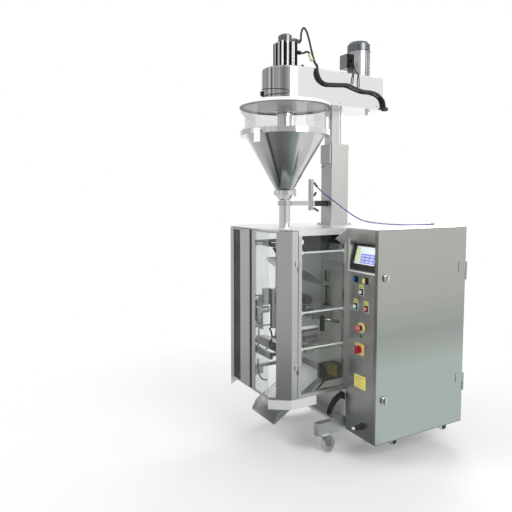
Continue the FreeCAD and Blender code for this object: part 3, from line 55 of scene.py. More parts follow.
class Tree:
    """Adds and joins nodes in one shader or geometry tree."""

    def __init__(self, tree):
        self.tree = tree

    def add(self, kind, **settings):
        node = self.tree.nodes.new(kind)
        for name, value in settings.items():
            setattr(node, name, value)
        return node

    def join(self, start, end):
        self.tree.links.new(start, end)

    def feed(self, socket, value):
        if isinstance(value, bpy.types.NodeSocket):
            self.join(value, socket)
        else:
            socket.default_value = value

    def math(self, operation, first, second=0.0):
        node = self.add("ShaderNodeMath", operation=operation)
        self.feed(node.inputs[0], first)
        self.feed(node.inputs[1], second)
        return node.outputs[0]

    def scaled(self, vector, factors):
        node = self.add("ShaderNodeVectorMath", operation="MULTIPLY")
        self.join(vector, node.inputs[0])
        self.join(factors, node.inputs[1])
        return node.outputs[0]

    def spread(self, value, low, high, from_low=0.0, from_high=1.0):
        node = self.add("ShaderNodeMapRange")
        self.feed(node.inputs["Value"], value)
        self.feed(node.inputs["From Min"], from_low)
        self.feed(node.inputs["From Max"], from_high)
        self.feed(node.inputs["To Min"], low)
        self.feed(node.inputs["To Max"], high)
        return node.outputs["Result"]

    def mix(self, factor, first, second):
        node = self.add("ShaderNodeMix", data_type="RGBA")
        self.feed(node.inputs["Factor"], factor)
        self.feed(node.inputs[6], first)
        self.feed(node.inputs[7], second)
        return node.outputs[2]

    def noise(self, vector, scale, detail):
        node = self.add("ShaderNodeTexNoise")
        self.feed(node.inputs["Vector"], vector)
        self.feed(node.inputs["Scale"], scale)
        self.feed(node.inputs["Detail"], detail)
        return node.outputs[0]

    def bump(self, height, strength, distance):
        node = self.add("ShaderNodeBump")
        node.inputs["Distance"].default_value = distance
        self.join(strength, node.inputs["Strength"])
        self.join(height, node.inputs["Height"])
        return node.outputs["Normal"]

    def where(self):
        """The place in the part's own space."""
        return self.add("ShaderNodeTexCoord").outputs["Object"]

    def split(self, vector):
        node = self.add("ShaderNodeSeparateXYZ")
        self.join(vector, node.inputs[0])
        return node.outputs

    def show_mixed(self, factor, first, second):
        """Mixes two shaders and joins them to the tree's output."""
        choose = self.add("ShaderNodeMixShader")
        out = next(node for node in self.tree.nodes if node.type.startswith("OUTPUT"))
        self.join(factor, choose.inputs[0])
        self.join(first.outputs[0], choose.inputs[1])
        self.join(second.outputs[0], choose.inputs[2])
        self.join(choose.outputs[0], out.inputs["Surface"])


def effect_group(name, inputs, outputs):
    """A shader node group with named inputs and outputs, given as (name, kind, value)."""
    group = bpy.data.node_groups.new(name, "ShaderNodeTree")
    for title, kind, value in inputs:
        socket = group.interface.new_socket(title, in_out="INPUT", socket_type=kind)
        socket.default_value = value
    for title, kind in outputs:
        group.interface.new_socket(title, in_out="OUTPUT", socket_type=kind)
    tree = Tree(group)
    return group, tree, tree.add("NodeGroupInput").outputs, tree.add("NodeGroupOutput").inputs


surface_outputs = [("Tone", float_kind), ("Roughness", float_kind), ("Normal", vector_kind)]


def build_brushing():
    """Fine lines drawn along one axis, with broad cloudy change of tone."""
    group, tree, given, out = effect_group(
        "brushing",
        [("Lines", vector_kind, (900.0, 900.0, 12.0)), ("Cloud", float_kind, 2.5),
         ("Cloud Share", float_kind, 0.5), ("Rough Low", float_kind, 0.25), ("Rough High", float_kind, 0.4),
         ("Depth", float_kind, 0.05)],
        surface_outputs)
    where = tree.where()
    lines = tree.noise(tree.scaled(where, given["Lines"]), 1.0, 2.0)
    cloud = tree.noise(where, given["Cloud"], 3.0)
    share = tree.add("ShaderNodeMix", data_type="FLOAT")
    tree.join(given["Cloud Share"], share.inputs[0])
    tree.join(lines, share.inputs[2])
    tree.join(cloud, share.inputs[3])
    tree.join(share.outputs[0], out["Tone"])
    tree.join(tree.spread(lines, given["Rough Low"], given["Rough High"], 0.3, 0.7), out["Roughness"])
    tree.join(tree.bump(lines, given["Depth"], 0.001), out["Normal"])
    return group


def build_grain():
    """Even grain of a moulded, painted or cast surface."""
    group, tree, given, out = effect_group(
        "grain",
        [("Scale", float_kind, 400.0), ("Cloud", float_kind, 6.0), ("Rough Low", float_kind, 0.4),
         ("Rough High", float_kind, 0.55), ("Depth", float_kind, 0.1)],
        surface_outputs)
    where = tree.where()
    fine = tree.noise(where, given["Scale"], 2.0)
    cloud = tree.noise(where, given["Cloud"], 3.0)
    tree.join(tree.spread(cloud, 0.0, 1.0, 0.3, 0.7), out["Tone"])
    tree.join(tree.spread(cloud, given["Rough Low"], given["Rough High"], 0.3, 0.7), out["Roughness"])
    tree.join(tree.bump(fine, given["Depth"], 0.0006), out["Normal"])
    return group


def build_zone():
    """A mask that is 1 inside a box of the part's own space."""
    group, tree, given, out = effect_group(
        "zone", [("Low", vector_kind, (0.0, 0.0, 0.0)), ("High", vector_kind, (1.0, 1.0, 1.0))],
        [("Mask", float_kind)])
    here = tree.split(tree.where())
    low = tree.split(given["Low"])
    high = tree.split(given["High"])
    mask = 1.0
    for axis in range(3):
        above = tree.math("GREATER_THAN", here[axis], low[axis])
        below = tree.math("LESS_THAN", here[axis], high[axis])
        mask = tree.math("MULTIPLY", mask, tree.math("MULTIPLY", above, below))
    tree.join(mask, out["Mask"])
    return group


def build_ribs():
    """Upright dark and bright ribs round a square body, given by their pitch and the share that is dark."""
    group, tree, given, out = effect_group(
        "ribs", [("Pitch", float_kind, 0.036), ("Dark Share", float_kind, 0.5)], [("Mask", float_kind)])
    here = tree.split(tree.where())
    along = tree.math("DIVIDE", tree.math("ADD", here[0], here[1]), given["Pitch"])
    tree.join(tree.math("LESS_THAN", tree.math("FRACT", along), given["Dark Share"]), out["Mask"])
    return group


def build_height_bands():
    """A mask that fades out with height and one round a middle height, for sheet that is lit unevenly."""
    group, tree, given, out = effect_group(
        "height_bands",
        [("Low Height", float_kind, 0.2), ("Middle Height", float_kind, 0.8),
         ("High Height", float_kind, 1.4), ("Softness", float_kind, 0.2)],
        [("Low Mask", float_kind), ("Middle Mask", float_kind)])
    height = tree.split(tree.where())[2]
    gap = tree.math("ABSOLUTE", tree.math("SUBTRACT", height, given["Middle Height"]))
    tree.join(tree.spread(gap, 1.0, 0.0, 0.0, given["Softness"]), out["Middle Mask"])
    tree.join(tree.spread(height, 1.0, 0.0, given["Low Height"], given["High Height"]), out["Low Mask"])
    return group


def build_round_shade():
    """A mask up to an angle round an upright axis, and upright streaks, for painted reflection on the dark
    side of round sheet.
    """
    group, tree, given, out = effect_group(
        "round_shade",
        [("Axis X", float_kind, 0.0), ("Axis Y", float_kind, 0.0), ("End Angle", float_kind, 0.0),
         ("Softness", float_kind, 0.1), ("Streaks", float_kind, 7.0)],
        [("Mask", float_kind), ("Streak", float_kind)])
    here = tree.split(tree.where())
    angle = tree.math("ARCTAN2", tree.math("SUBTRACT", here[1], given["Axis Y"]),
                      tree.math("SUBTRACT", here[0], given["Axis X"]))
    past = tree.math("DIVIDE", tree.math("SUBTRACT", angle, given["End Angle"]), given["Softness"])
    tree.join(tree.spread(past, 1.0, 0.0, -1.0, 1.0), out["Mask"])
    along = tree.add("ShaderNodeCombineXYZ")
    tree.join(tree.math("MULTIPLY", angle, given["Streaks"]), along.inputs[0])
    tree.join(tree.spread(tree.noise(along.outputs[0], 1.0, 4.0), 0.0, 1.0, 0.38, 0.62), out["Streak"])
    return group


brushing = build_brushing()
round_shade = build_round_shade()
grain = build_grain()
zone = build_zone()
ribs = build_ribs()
height_bands = build_height_bands()

# Noise scales along x, y and z: lines that run up a sheet, and lines that run round a turned piece
upright = (700.0, 700.0, 10.0)
across = (12.0, 12.0, 800.0)
acrylic_index = 1.49
screen_glow = 0.35


def colour(shade):
    """A colour from one grey value or three channel values."""
    return (shade, shade, shade, 1.0) if isinstance(shade, float) else (*shade, 1.0)


def new_finish(name):
    material = bpy.data.materials.new(name)
    material.use_nodes = True
    tree = Tree(material.node_tree)
    return material, tree, material.node_tree.nodes["Principled BSDF"]


def effect(tree, group, **values):
    node = tree.add("ShaderNodeGroup", node_tree=group)
    for name, value in values.items():
        node.inputs[name.replace("_", " ").title()].default_value = value
    return node


def box_mask(tree, low, high):
    return effect(tree, zone, low=place(*low), high=place(*high)).outputs["Mask"]


def patched(tree, tone, patches):
    """Sets another tone in each patch, given as (low corner, high corner, shade)."""
    for low, high, shade in patches:
        tone = tree.mix(box_mask(tree, low, high), tone, colour(shade))
    return tone


def brush(tree, lines, cloud, cloud_share, rough, depth):
    return effect(tree, brushing, lines=lines, cloud=cloud, cloud_share=cloud_share, rough_low=rough[0],
                  rough_high=rough[1], depth=depth)


def axis_shade(tree, end, softness, streaks=7.0):
    """The round shade about the filling axis, up to an angle in degrees."""
    return effect(tree, round_shade, axis_x=-fill_x / 1000, axis_y=-fill_y / 1000,
                  end_angle=math.radians(end), softness=softness, streaks=streaks)


def dress(tree, surface, texture, tone, metallic):
    """Joins a tone, and a texture's roughness and bump, to the shader."""
    tree.join(tone, surface.inputs["Base Color"])
    tree.feed(surface.inputs["Metallic"], metallic)
    tree.join(texture.outputs["Roughness"], surface.inputs["Roughness"])
    tree.join(texture.outputs["Normal"], surface.inputs["Normal"])


def brushed_finish(name, dark, light, lines, cloud=2.5, cloud_share=0.5, rough=(0.24, 0.36), depth=0.04,
                   patches=(), metal=1.0):
    """Brushed metal; patches are places of another tone that is not metal: paint, plastic, the painted sheen
    of the guard rails and the painted shade of the lock bases.
    """
    material, tree, surface = new_finish(name)
    texture = brush(tree, lines, cloud, cloud_share, rough, depth)
    tone = tree.mix(texture.outputs["Tone"], colour(dark), colour(light))
    metallic = metal
    for low, high, shade in patches:
        mask = box_mask(tree, low, high)
        tone = tree.mix(mask, tone, colour(shade))
        metallic = tree.math("SUBTRACT", metallic, tree.math("MULTIPLY", mask, metal))
    dress(tree, surface, texture, tone, metallic)
    return material


def banded_finish(name, dark, light, middle, low, heights):
    """Brushed sheet with painted reflection: duller in a band at one height and greener towards the floor,
    for the room and ground it mirrors.
    """
    material, tree, surface = new_finish(name)
    texture = brush(tree, upright, 1.2, 0.5, (0.3, 0.4), 0.03)
    reflection_bands = effect(tree, height_bands, low_height=heights[0], middle_height=heights[1],
                   high_height=heights[2], softness=0.22)
    tone = tree.mix(texture.outputs["Tone"], colour(dark), colour(light))
    tone = tree.mix(reflection_bands.outputs["Low Mask"], tone, colour(low))
    tone = tree.mix(tree.math("MULTIPLY", reflection_bands.outputs["Middle Mask"], 0.75), tone, colour(middle))
    dress(tree, surface, texture, tone, 1.0)
    return material


def nose_finish(name, dark, light, streak_dark, streak_light):
    """Polished sheet with painted reflection: its rounded end is greyer, with fine upright streaks, for the
    darker room it mirrors.
    """
    material, tree, surface = new_finish(name)
    texture = brush(tree, across, 1.6, 0.8, (0.08, 0.14), 0.015)
    turned = axis_shade(tree, -25, 0.1, 9.0)
    tone = tree.mix(texture.outputs["Tone"], colour(dark), colour(light))
    painted_reflection = tree.mix(turned.outputs["Streak"], colour(streak_dark), colour(streak_light))
    dress(tree, surface, texture, tree.mix(turned.outputs["Mask"], tone, painted_reflection), 1.0)
    return material


def cone_finish(name, dark, light, ground_reflection):
    """Turned sheet of the cone, with painted reflection: a deeper tone low on the side that faces the dark
    ground, for the ground it mirrors.
    """
    material, tree, surface = new_finish(name)
    texture = brush(tree, across, 2.5, 0.5, (0.10, 0.18), 0.04)
    sides = [axis_shade(tree, end, 0.16).outputs["Mask"] for end in (-78, 4)]
    low = effect(tree, height_bands, low_height=1.72, high_height=1.93).outputs["Low Mask"]
    ground_reflection_mask = tree.math("MULTIPLY", tree.math("SUBTRACT", sides[1], sides[0]), low)
    tone = tree.mix(texture.outputs["Tone"], colour(dark), colour(light))
    dress(tree, surface, texture, tree.mix(ground_reflection_mask, tone, colour(ground_reflection)), 1.0)
    return material


def ribbed_finish(name, dark, light, pitch, share, patches):
    """Metal with broad dark and bright upright ribs."""
    material, tree, surface = new_finish(name)
    texture = brush(tree, (400.0, 400.0, 8.0), 9.0, 0.4, (0.16, 0.28), 0.03)
    ribbed = effect(tree, ribs, pitch=pitch, dark_share=share)
    bright = tree.mix(texture.outputs["Tone"], colour(light - 0.14), colour(light))
    tone = tree.mix(ribbed.outputs["Mask"], bright, colour(dark))
    dress(tree, surface, texture, patched(tree, tone, patches), 0.9)
    return material


def moulded_finish(name, dark, light, scale=500.0, rough=(0.35, 0.5), depth=0.12, coat=0.0, metallic=0.0,
                   patches=()):
    """Paint, plastic or rubber with an even grain."""
    material, tree, surface = new_finish(name)
    texture = effect(tree, grain, scale=scale, cloud=9.0, rough_low=rough[0], rough_high=rough[1],
                     depth=depth)
    tone = tree.mix(texture.outputs["Tone"], colour(dark), colour(light))
    dress(tree, surface, texture, patched(tree, tone, patches), metallic)
    surface.inputs["Coat Weight"].default_value = coat
    return material


def cap_finish(name, dark, light, rough=(0.25, 0.35), coat=0.3):
    """Smooth plastic of caps, knobs and plates."""
    return moulded_finish(name, dark, light, rough=rough, depth=0.04, coat=coat)


def clear_finish(name, light, dark, shine):
    """Thin acrylic sheet: tinted light goes straight through, and its faces mirror the room at a slant."""
    material, tree, surface = new_finish(name)
    smear = effect(tree, grain, scale=60.0, cloud=3.0, rough_low=0.015, rough_high=0.05, depth=0.004)
    passing = tree.add("ShaderNodeBsdfTransparent")
    tree.join(tree.mix(smear.outputs["Tone"], colour(light), colour(dark)), passing.inputs["Color"])
    dress(tree, surface, smear, tree.mix(smear.outputs["Tone"], colour(0.96), colour(0.90)), 1.0)
    slant = tree.add("ShaderNodeFresnel")
    slant.inputs["IOR"].default_value = acrylic_index
    path = tree.add("ShaderNodeLightPath")
    mirrored = tree.math("MULTIPLY", tree.math("MULTIPLY", slant.outputs[0], shine),
                         tree.math("SUBTRACT", 1.0, path.outputs["Is Shadow Ray"]))
    tree.show_mixed(mirrored, passing, surface)
    return material


def lit_finish(name, shade):
    """A self-lit patch of the screen."""
    material, tree, surface = new_finish(name)
    texture = effect(tree, grain, scale=900.0, cloud=30.0, rough_low=0.12, rough_high=0.2, depth=0.02)
    dim = tuple(0.92 * part for part in shade)
    tone = tree.mix(texture.outputs["Tone"], colour(dim), colour(shade))
    tree.join(tone, surface.inputs["Base Color"])
    tree.join(tone, surface.inputs["Emission Color"])
    tree.join(texture.outputs["Roughness"], surface.inputs["Roughness"])
    surface.inputs["Emission Strength"].default_value = screen_glow
    return material


# Finishes
stainless_sheet = brushed_finish("stainless_sheet", 0.58, 0.66, upright, cloud_share=0.85, depth=0.012)
wall_sheet = brushed_finish("wall_sheet", (0.56, 0.57, 0.54), (0.66, 0.67, 0.64), (200.0, 200.0, 8.0),
                            cloud=3.5, cloud_share=0.8, rough=(0.3, 0.45), depth=0.02, metal=0.35)
# Painted sheen: the three guard rails are a pale grey that is not metal, so they read as bright as the steel
# rods' sheen.
rail_sheen_patches = tuple(((300, -86, height - 8), (330.5, 235, height + 8), 0.92) for height in (1295, 928, 704))
guard_steel = brushed_finish("guard_steel", 0.56, 0.70, upright, cloud_share=0.8, depth=0.02,
                             patches=rail_sheen_patches)
roof_sheet = brushed_finish("roof_sheet", 0.74, 0.88, (30.0, 500.0, 500.0), cloud=2.0, rough=(0.3, 0.42))
# Painted reflection: the cabinet's door and front are the same stainless sheet, given their own tones and
# bands for the room each mirrors.
stainless_door = banded_finish("stainless_door", (0.46, 0.46, 0.43), (0.52, 0.52, 0.49), (0.36, 0.41, 0.38),
                               (0.52, 0.59, 0.55), (0.55, 0.80, 0.95))
stainless_front = banded_finish("stainless_front", (0.64, 0.63, 0.61), (0.76, 0.75, 0.725),
                                (0.70, 0.69, 0.67), (0.42, 0.45, 0.43), (0.18, 0.95, 0.60))
stainless_turned = brushed_finish("stainless_turned", 0.66, 0.80, across, rough=(0.10, 0.18))
polished_arm = nose_finish("polished_arm", 0.82, 0.94, 0.30, 0.54)
cone_steel = cone_finish("cone_steel", 0.66, 0.80, (0.17, 0.20, 0.185))
skirt_sheet = brushed_finish("skirt_sheet", 0.80, 0.90, upright, cloud_share=0.85, rough=(0.3, 0.4),
                             depth=0.012, metal=0.45)
pale_sheet = brushed_finish("pale_sheet", 0.88, 0.95, (200.0, 200.0, 20.0), rough=(0.3, 0.42), depth=0.02,
                            metal=0.1, patches=(((-300, -300, 2196), (300, 300, 2203), 0.16),))
frame_steel = brushed_finish("frame_steel", 0.66, 0.80, (60.0, 60.0, 60.0), cloud=8.0, rough=(0.38, 0.5),
                             depth=0.06)
column_steel = brushed_finish("column_steel", (0.50, 0.51, 0.49), (0.57, 0.58, 0.56), (80.0, 80.0, 30.0),
                              cloud=3.0, rough=(0.42, 0.52), depth=0.05)
machined = brushed_finish("machined", 0.45, 0.66, (260.0, 260.0, 260.0), cloud=20.0, rough=(0.24, 0.38),
                          depth=0.06)
bright_rod = brushed_finish("bright_rod", 0.86, 0.96, (8.0, 900.0, 900.0), rough=(0.06, 0.1), depth=0.01)
zinc = brushed_finish("zinc", 0.48, 0.64, (120.0, 120.0, 120.0), cloud=35.0, rough=(0.3, 0.45), depth=0.08)
servo_finish = ribbed_finish("servo_finish", 0.012, 0.90, 0.042, 0.52,
                             (((-90, 62, 2530), (90, 130, 2670), 0.02),
                              ((-90, -90, 2608), (90, 90, 2700), 0.16)))
cylinder_finish = brushed_finish("cylinder_finish", 0.42, 0.60, (200.0, 200.0, 200.0), cloud=18.0,
                                 patches=(((195, 100, 450), (300, 262, 570), 0.03),
                                          ((110, 228, 885), (150, 262, 1052), 0.03)))
stay_finish = brushed_finish("stay_finish", 0.48, 0.66, across, rough=(0.18, 0.3),
                             patches=(((-30, 226, 1500), (40, 340, 1760), 0.02),))
motor_grey = moulded_finish("motor_grey", (0.42, 0.43, 0.45), (0.54, 0.55, 0.56), metallic=0.8,
                            rough=(0.22, 0.34), depth=0.1,
                            patches=(((-90, 500, 2628), (90, 700, 2700), (0.15, 0.16, 0.17)),
                                     ((-60, 466, 2500), (42.5, 528, 2600), 0.24),
                                     ((39, 460, 2490), (60, 530, 2610), 0.02)))
black_plastic = moulded_finish("black_plastic", 0.018, 0.035)
black_rubber = moulded_finish("black_rubber", 0.015, 0.03, scale=260.0, rough=(0.5, 0.68), depth=0.25)
belt_finish = brushed_finish("belt_finish", 0.40, 0.58, (200.0, 200.0, 200.0), cloud=14.0,
                             patches=(((-50, -14, 700), (50, 14, 1000), (0.14, 0.07, 0.05)),
                                      ((116.9, 20, 930), (210, 110, 1010), 0.05),
                                      ((-210, 20, 930), (-116.9, 110, 1010), 0.05)))
grey_tread = moulded_finish("grey_tread", 0.34, 0.46, scale=160.0, rough=(0.4, 0.55), depth=0.2)
panel_parts = moulded_finish("panel_parts", 0.35, 0.45, rough=(0.4, 0.5), depth=0.1)
pale_yellow = cap_finish("pale_yellow", (0.78, 0.74, 0.16), (0.88, 0.84, 0.24), (0.35, 0.5), 0.0)
pale_tag = cap_finish("pale_tag", (0.66, 0.68, 0.42), (0.78, 0.80, 0.56), (0.35, 0.5), 0.0)
red = cap_finish("red", (0.30, 0.012, 0.03), (0.42, 0.02, 0.04), (0.22, 0.3), 0.4)
green = cap_finish("green", (0.015, 0.13, 0.07), (0.03, 0.20, 0.11), (0.22, 0.3), 0.4)
pink_cap = cap_finish("pink_cap", (0.80, 0.66, 0.64), (0.90, 0.78, 0.76))
mint_cap = cap_finish("mint_cap", (0.66, 0.82, 0.68), (0.78, 0.90, 0.80))
salmon_cap = cap_finish("salmon_cap", (0.72, 0.20, 0.16), (0.84, 0.30, 0.24))
rose_red = cap_finish("rose_red", (0.40, 0.08, 0.10), (0.52, 0.12, 0.15), (0.22, 0.3))
lever_blue = cap_finish("lever_blue", (0.03, 0.16, 0.42), (0.05, 0.24, 0.55), coat=0.0)
white_cap = cap_finish("white_cap", 0.70, 0.80)
blue_tube = moulded_finish("blue_tube", (0.03, 0.03, 0.26), (0.06, 0.05, 0.36), rough=(0.18, 0.28),
                           depth=0.03, coat=0.4)
control_finish = moulded_finish("control_finish", 0.015, 0.03, rough=(0.3, 0.45), depth=0.06,
                                patches=(((430, 255, 790), (515, 262, 870), (0.84, 0.72, 0.30)),
                                         ((415, 255, 655), (505, 262, 735), (0.86, 0.62, 0.20)),
                                         ((470, 180, 195), (510, 203, 235), 0.75)))
# Painted shade: the locks' base is near black and not metal, for the shadow beside the latch.
lock_finish = brushed_finish("lock_finish", 0.62, 0.84, (260.0, 260.0, 260.0), cloud=30.0, rough=(0.16, 0.26),
                             patches=(((600, 290, 360), (617.9, 350, 1200), 0.02),))
clear_acrylic = clear_finish("clear_acrylic", (0.97, 0.98, 0.97), (0.92, 0.94, 0.93), 0.4)
ring_acrylic = clear_finish("ring_acrylic", (0.98, 0.98, 0.98), (0.91, 0.915, 0.91), 0.3)
# The left door's pane: a darker, greyer clear sheet that mirrors more at a slant.
smoked_acrylic = clear_finish("smoked_acrylic", (0.66, 0.68, 0.68), (0.34, 0.37, 0.38), 0.9)
screen_black = moulded_finish("screen_black", 0.03, 0.05, rough=(0.25, 0.35), depth=0.05)
screen_white = lit_finish("screen_white", (0.80, 0.86, 0.92))
screen_lime = lit_finish("screen_lime", (0.62, 0.80, 0.35))
screen_blue = lit_finish("screen_blue", (0.22, 0.28, 0.75))
screen_lilac = lit_finish("screen_lilac", (0.66, 0.62, 0.90))

finish_of = {
    "base_frame": frame_steel, "levelling_feet": zinc, "cabinet_shell": stainless_front,
    "touch_screen": screen_black, "control_collars": control_finish, "top_plate": roof_sheet,
    "back_wall": wall_sheet, "side_guards": guard_steel, "side_panes": clear_acrylic,
    "side_skirts": skirt_sheet, "discharge_chute": stainless_sheet, "forming_tube": stainless_turned,
    "forming_shoulder": stainless_sheet, "seal_station": cylinder_finish, "column": column_steel,
    "spout_stay": stay_finish, "blue_air_tube": blue_tube, "frame_fasteners": zinc,
    "electrical_panel": panel_parts, "inner_hoses": black_rubber, "arm_housing": polished_arm,
    "servo_motor": servo_finish, "stirring_motor": motor_grey, "hopper_lid": pale_sheet,
    "hopper_ring": ring_acrylic, "hopper_cone": cone_steel, "spout": stainless_turned,
    "mast": stainless_sheet, "cable_bundle": black_rubber, "swivel_fork_right": zinc,
    "swivel_fork_left": zinc, "front_wheel_right": grey_tread, "front_wheel_left": grey_tread,
    "cabinet_door": stainless_door, "door_lock_upper": lock_finish, "door_lock_lower": lock_finish,
    "selector_left": black_plastic, "selector_right": black_plastic, "upper_button": pink_cap,
    "start_button": mint_cap, "stop_button": salmon_cap, "emergency_stop": rose_red,
    "isolator_knob": red, "front_door_right": stainless_sheet, "door_pane_right": clear_acrylic,
    "front_door_left": stainless_sheet, "door_pane_left": smoked_acrylic, "reel_shaft": bright_rod,
    "dancer_arm": machined, "film_roller": black_rubber, "belt_unit_right": belt_finish,
    "belt_unit_left": belt_finish, "belt_pulley_right": machined, "belt_pulley_left": machined,
    "vertical_sealer": machined, "front_jaw": machined, "rear_jaw": machined,
    "auger": stainless_turned, "agitator": stainless_turned, "hopper_latch": pale_sheet,
}
for node_name, finish in finish_of.items():
    data = nodes[node_name].data
    data.materials.clear()
    data.materials.append(finish)


# Pieces


def mesh_piece(name, shape, finish, body, smooth=False):
    """Turns a bmesh into a piece that rides on a body."""
    data = bpy.data.meshes.new(name)
    bmesh.ops.recalc_face_normals(shape, faces=shape.faces)
    shape.to_mesh(data)
    shape.free()
    for face in data.polygons:
        face.use_smooth = smooth
    data.materials.append(finish)
    piece = bpy.data.objects.new(name, data)
    bpy.context.scene.collection.objects.link(piece)
    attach(piece, body)


def add_block(shape, x0, x1, y0, y1, z0, z1, bevel=0.0):
    """Adds a box with rounded edges to a bmesh; millimetres from the filling axis."""
    low = place(x0, y0, z0)
    high = place(x1, y1, z1)
    made = bmesh.ops.create_cube(shape, size=1.0)
    bmesh.ops.scale(shape, vec=high - low, verts=made["verts"])
    bmesh.ops.translate(shape, vec=(low + high) / 2, verts=made["verts"])
    if bevel:
        edges = list({edge for vert in made["verts"] for edge in vert.link_edges})
        bmesh.ops.bevel(shape, geom=edges, offset=bevel / 1000, segments=2, affect="EDGES", profile=0.5)


def block_piece(name, boxes, finish, body, bevel):
    shape = bmesh.new()
    for box in boxes:
        add_block(shape, *box, bevel=bevel)
    mesh_piece(name, shape, finish, body)


def plastic_block(name, box, bevel, body="machine_frame"):
    block_piece(name, [box], black_plastic, body, bevel)


def join_loops(shape, loops):
    """Adds the faces between each loop of vertices and the next."""
    count = len(loops[0])
    for loop, following in zip(loops, loops[1:]):
        for step in range(count):
            other = (step + 1) % count
            shape.faces.new((loop[step], loop[other], following[other], following[step]))


def add_tube(shape, points, radius, sides):
    """Adds a round tube along points, in metres, to a bmesh."""
    rings = []
    for index, point in enumerate(points):
        before = points[max(index - 1, 0)]
        after = points[min(index + 1, len(points) - 1)]
        turn = (after - before).to_track_quat("Z", "Y")
        ring = []
        for step in range(sides):
            angle = 2 * math.pi * step / sides
            offset = Vector((radius * math.cos(angle), radius * math.sin(angle), 0.0))
            ring.append(shape.verts.new(point + turn @ offset))
        rings.append(ring)
    join_loops(shape, rings)
    shape.faces.new(rings[0])
    shape.faces.new(rings[-1][::-1])


def tube_piece(name, routes, radius, finish, body, sides):
    shape = bmesh.new()
    for route in routes:
        add_tube(shape, [place(*spot) for spot in route], radius / 1000, sides)
    mesh_piece(name, shape, finish, body, smooth=True)


def hose_piece(name, routes, radius, body="machine_frame", sides=10):
    tube_piece(name, routes, radius, black_rubber, body, sides)


# Repeated screw heads


def build_screw_heads():
    """Low domed heads on given points, turned to face out of the sheet they hold."""
    group = bpy.data.node_groups.new("screw_heads", "GeometryNodeTree")
    face = group.interface
    face.new_socket("Points", in_out="INPUT", socket_type="NodeSocketGeometry")
    face.new_socket("Head Radius", in_out="INPUT", socket_type=float_kind)
    face.new_socket("Turn", in_out="INPUT", socket_type=vector_kind)
    face.new_socket("Finish", in_out="INPUT", socket_type="NodeSocketMaterial")
    face.new_socket("Heads", in_out="OUTPUT", socket_type="NodeSocketGeometry")
    tree = Tree(group)
    given = tree.add("NodeGroupInput").outputs
    out = tree.add("NodeGroupOutput").inputs
    head = tree.add("GeometryNodeMeshCone")
    head.inputs["Vertices"].default_value = 16
    tree.join(given["Head Radius"], head.inputs["Radius Bottom"])
    tree.join(tree.math("MULTIPLY", given["Head Radius"], 0.62), head.inputs["Radius Top"])
    tree.join(tree.math("MULTIPLY", given["Head Radius"], 0.5), head.inputs["Depth"])
    copies = tree.add("GeometryNodeInstanceOnPoints")
    tree.join(given["Points"], copies.inputs["Points"])
    tree.join(head.outputs["Mesh"], copies.inputs["Instance"])
    tree.join(given["Turn"], copies.inputs["Rotation"])
    real = tree.add("GeometryNodeRealizeInstances")
    tree.join(copies.outputs[0], real.inputs[0])
    painted = tree.add("GeometryNodeSetMaterial")
    tree.join(real.outputs[0], painted.inputs["Geometry"])
    tree.join(given["Finish"], painted.inputs["Material"])
    tree.join(painted.outputs[0], out["Heads"])
    return group


screw_heads = build_screw_heads()


def screw_row(name, spots, turn, radius, finish, body):
    """One mesh of screw heads at the spots, all facing the same way."""
    points = bpy.data.meshes.new(name + "_points")
    points.from_pydata([place(*spot) for spot in spots], [], [])
    holder = bpy.data.objects.new(name + "_points", points)
    bpy.context.scene.collection.objects.link(holder)
    heads = holder.modifiers.new("heads", "NODES")
    heads.node_group = screw_heads
    values = {"Head Radius": radius / 1000, "Turn": turn, "Finish": finish}
    for item in screw_heads.interface.items_tree:
        if item.in_out == "INPUT" and item.name in values:
            heads[item.identifier] = values[item.name]
    bpy.context.view_layer.update()
    made = bpy.data.meshes.new_from_object(holder.evaluated_get(bpy.context.evaluated_depsgraph_get()))
    made.name = name
    made.materials.clear()
    made.materials.append(finish)
    holder.modifiers.clear()
    bpy.data.objects.remove(holder)
    piece = bpy.data.objects.new(name, made)
    bpy.context.scene.collection.objects.link(piece)
    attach(piece, body)


toward_right = (0.0, math.pi / 2, 0.0)
screw_row("arm_screws", [(151, 97, 2246), (151, 330, 2241), (151, 642, 2243)], toward_right, 4.0,
          black_plastic, "filler_arm")

# The black strap round the arm's nose, with its knob
nose_r = 153.5


def on_nose(degrees, height, out=0.0):
    angle = math.radians(degrees)
    return ((nose_r + out) * math.cos(angle), (nose_r + out) * math.sin(angle), height)


strap = ([on_nose(-108 + 6 * step, 2312 - 1.6 * step) for step in range(14)]
         + [on_nose(-24.5, 2284), on_nose(-24.5, 2274), on_nose(-28, 2268)]
         + [on_nose(-34 - 6 * step, 2266) for step in range(13)])
knob = [on_nose(-104, height, 5) for height in (2270, 2274, 2294, 2298)]
hose_piece("nose_strap", [strap], 2.4, "filler_arm", 8)
tube_piece("strap_knob", [knob], 8.0, black_plastic, "filler_arm", 14)

# Left bay, behind the door: valve bracket with its coiled pipe, stepped blocks and drooping hoses
block_piece("valve_bracket", [(-309, -212, -44, -40, 705, 885), (-302, -218, -48, -44, 840, 862)], machined,
            "machine_frame", 0.8)
valve_steps = [(-302, -272, 904), (-268, -242, 924), (-238, -214, 952)]
block_piece("valve_blocks", [(x0, x1, -62, -24, 884, top) for x0, x1, top in valve_steps], motor_grey,
            "machine_frame", 1.5)
coil_r = 42
coil_turns = [math.radians(20 * step) for step in range(2, 19)]
coil = [(-258 + coil_r * math.cos(turn), -50.0, 780 + coil_r * math.sin(turn)) for turn in coil_turns]
hose_piece("valve_coil", [coil], 5.0)
droops = [
    [(-272, -40, 708), (-274, -40, 666), (-288, -40, 619), (-288, -40, 582), (-262, -40, 560),
     (-226, -40, 552), (-190, -40, 562), (-163, -38, 584), (-147, -30, 605)],
    [(-305, -30, 470), (-303, -30, 430), (-300, -30, 395), (-286, -30, 360), (-262, -30, 343),
     (-225, -30, 341), (-180, -30, 353)],
]
hose_piece("valve_hoses", droops, 5.5)
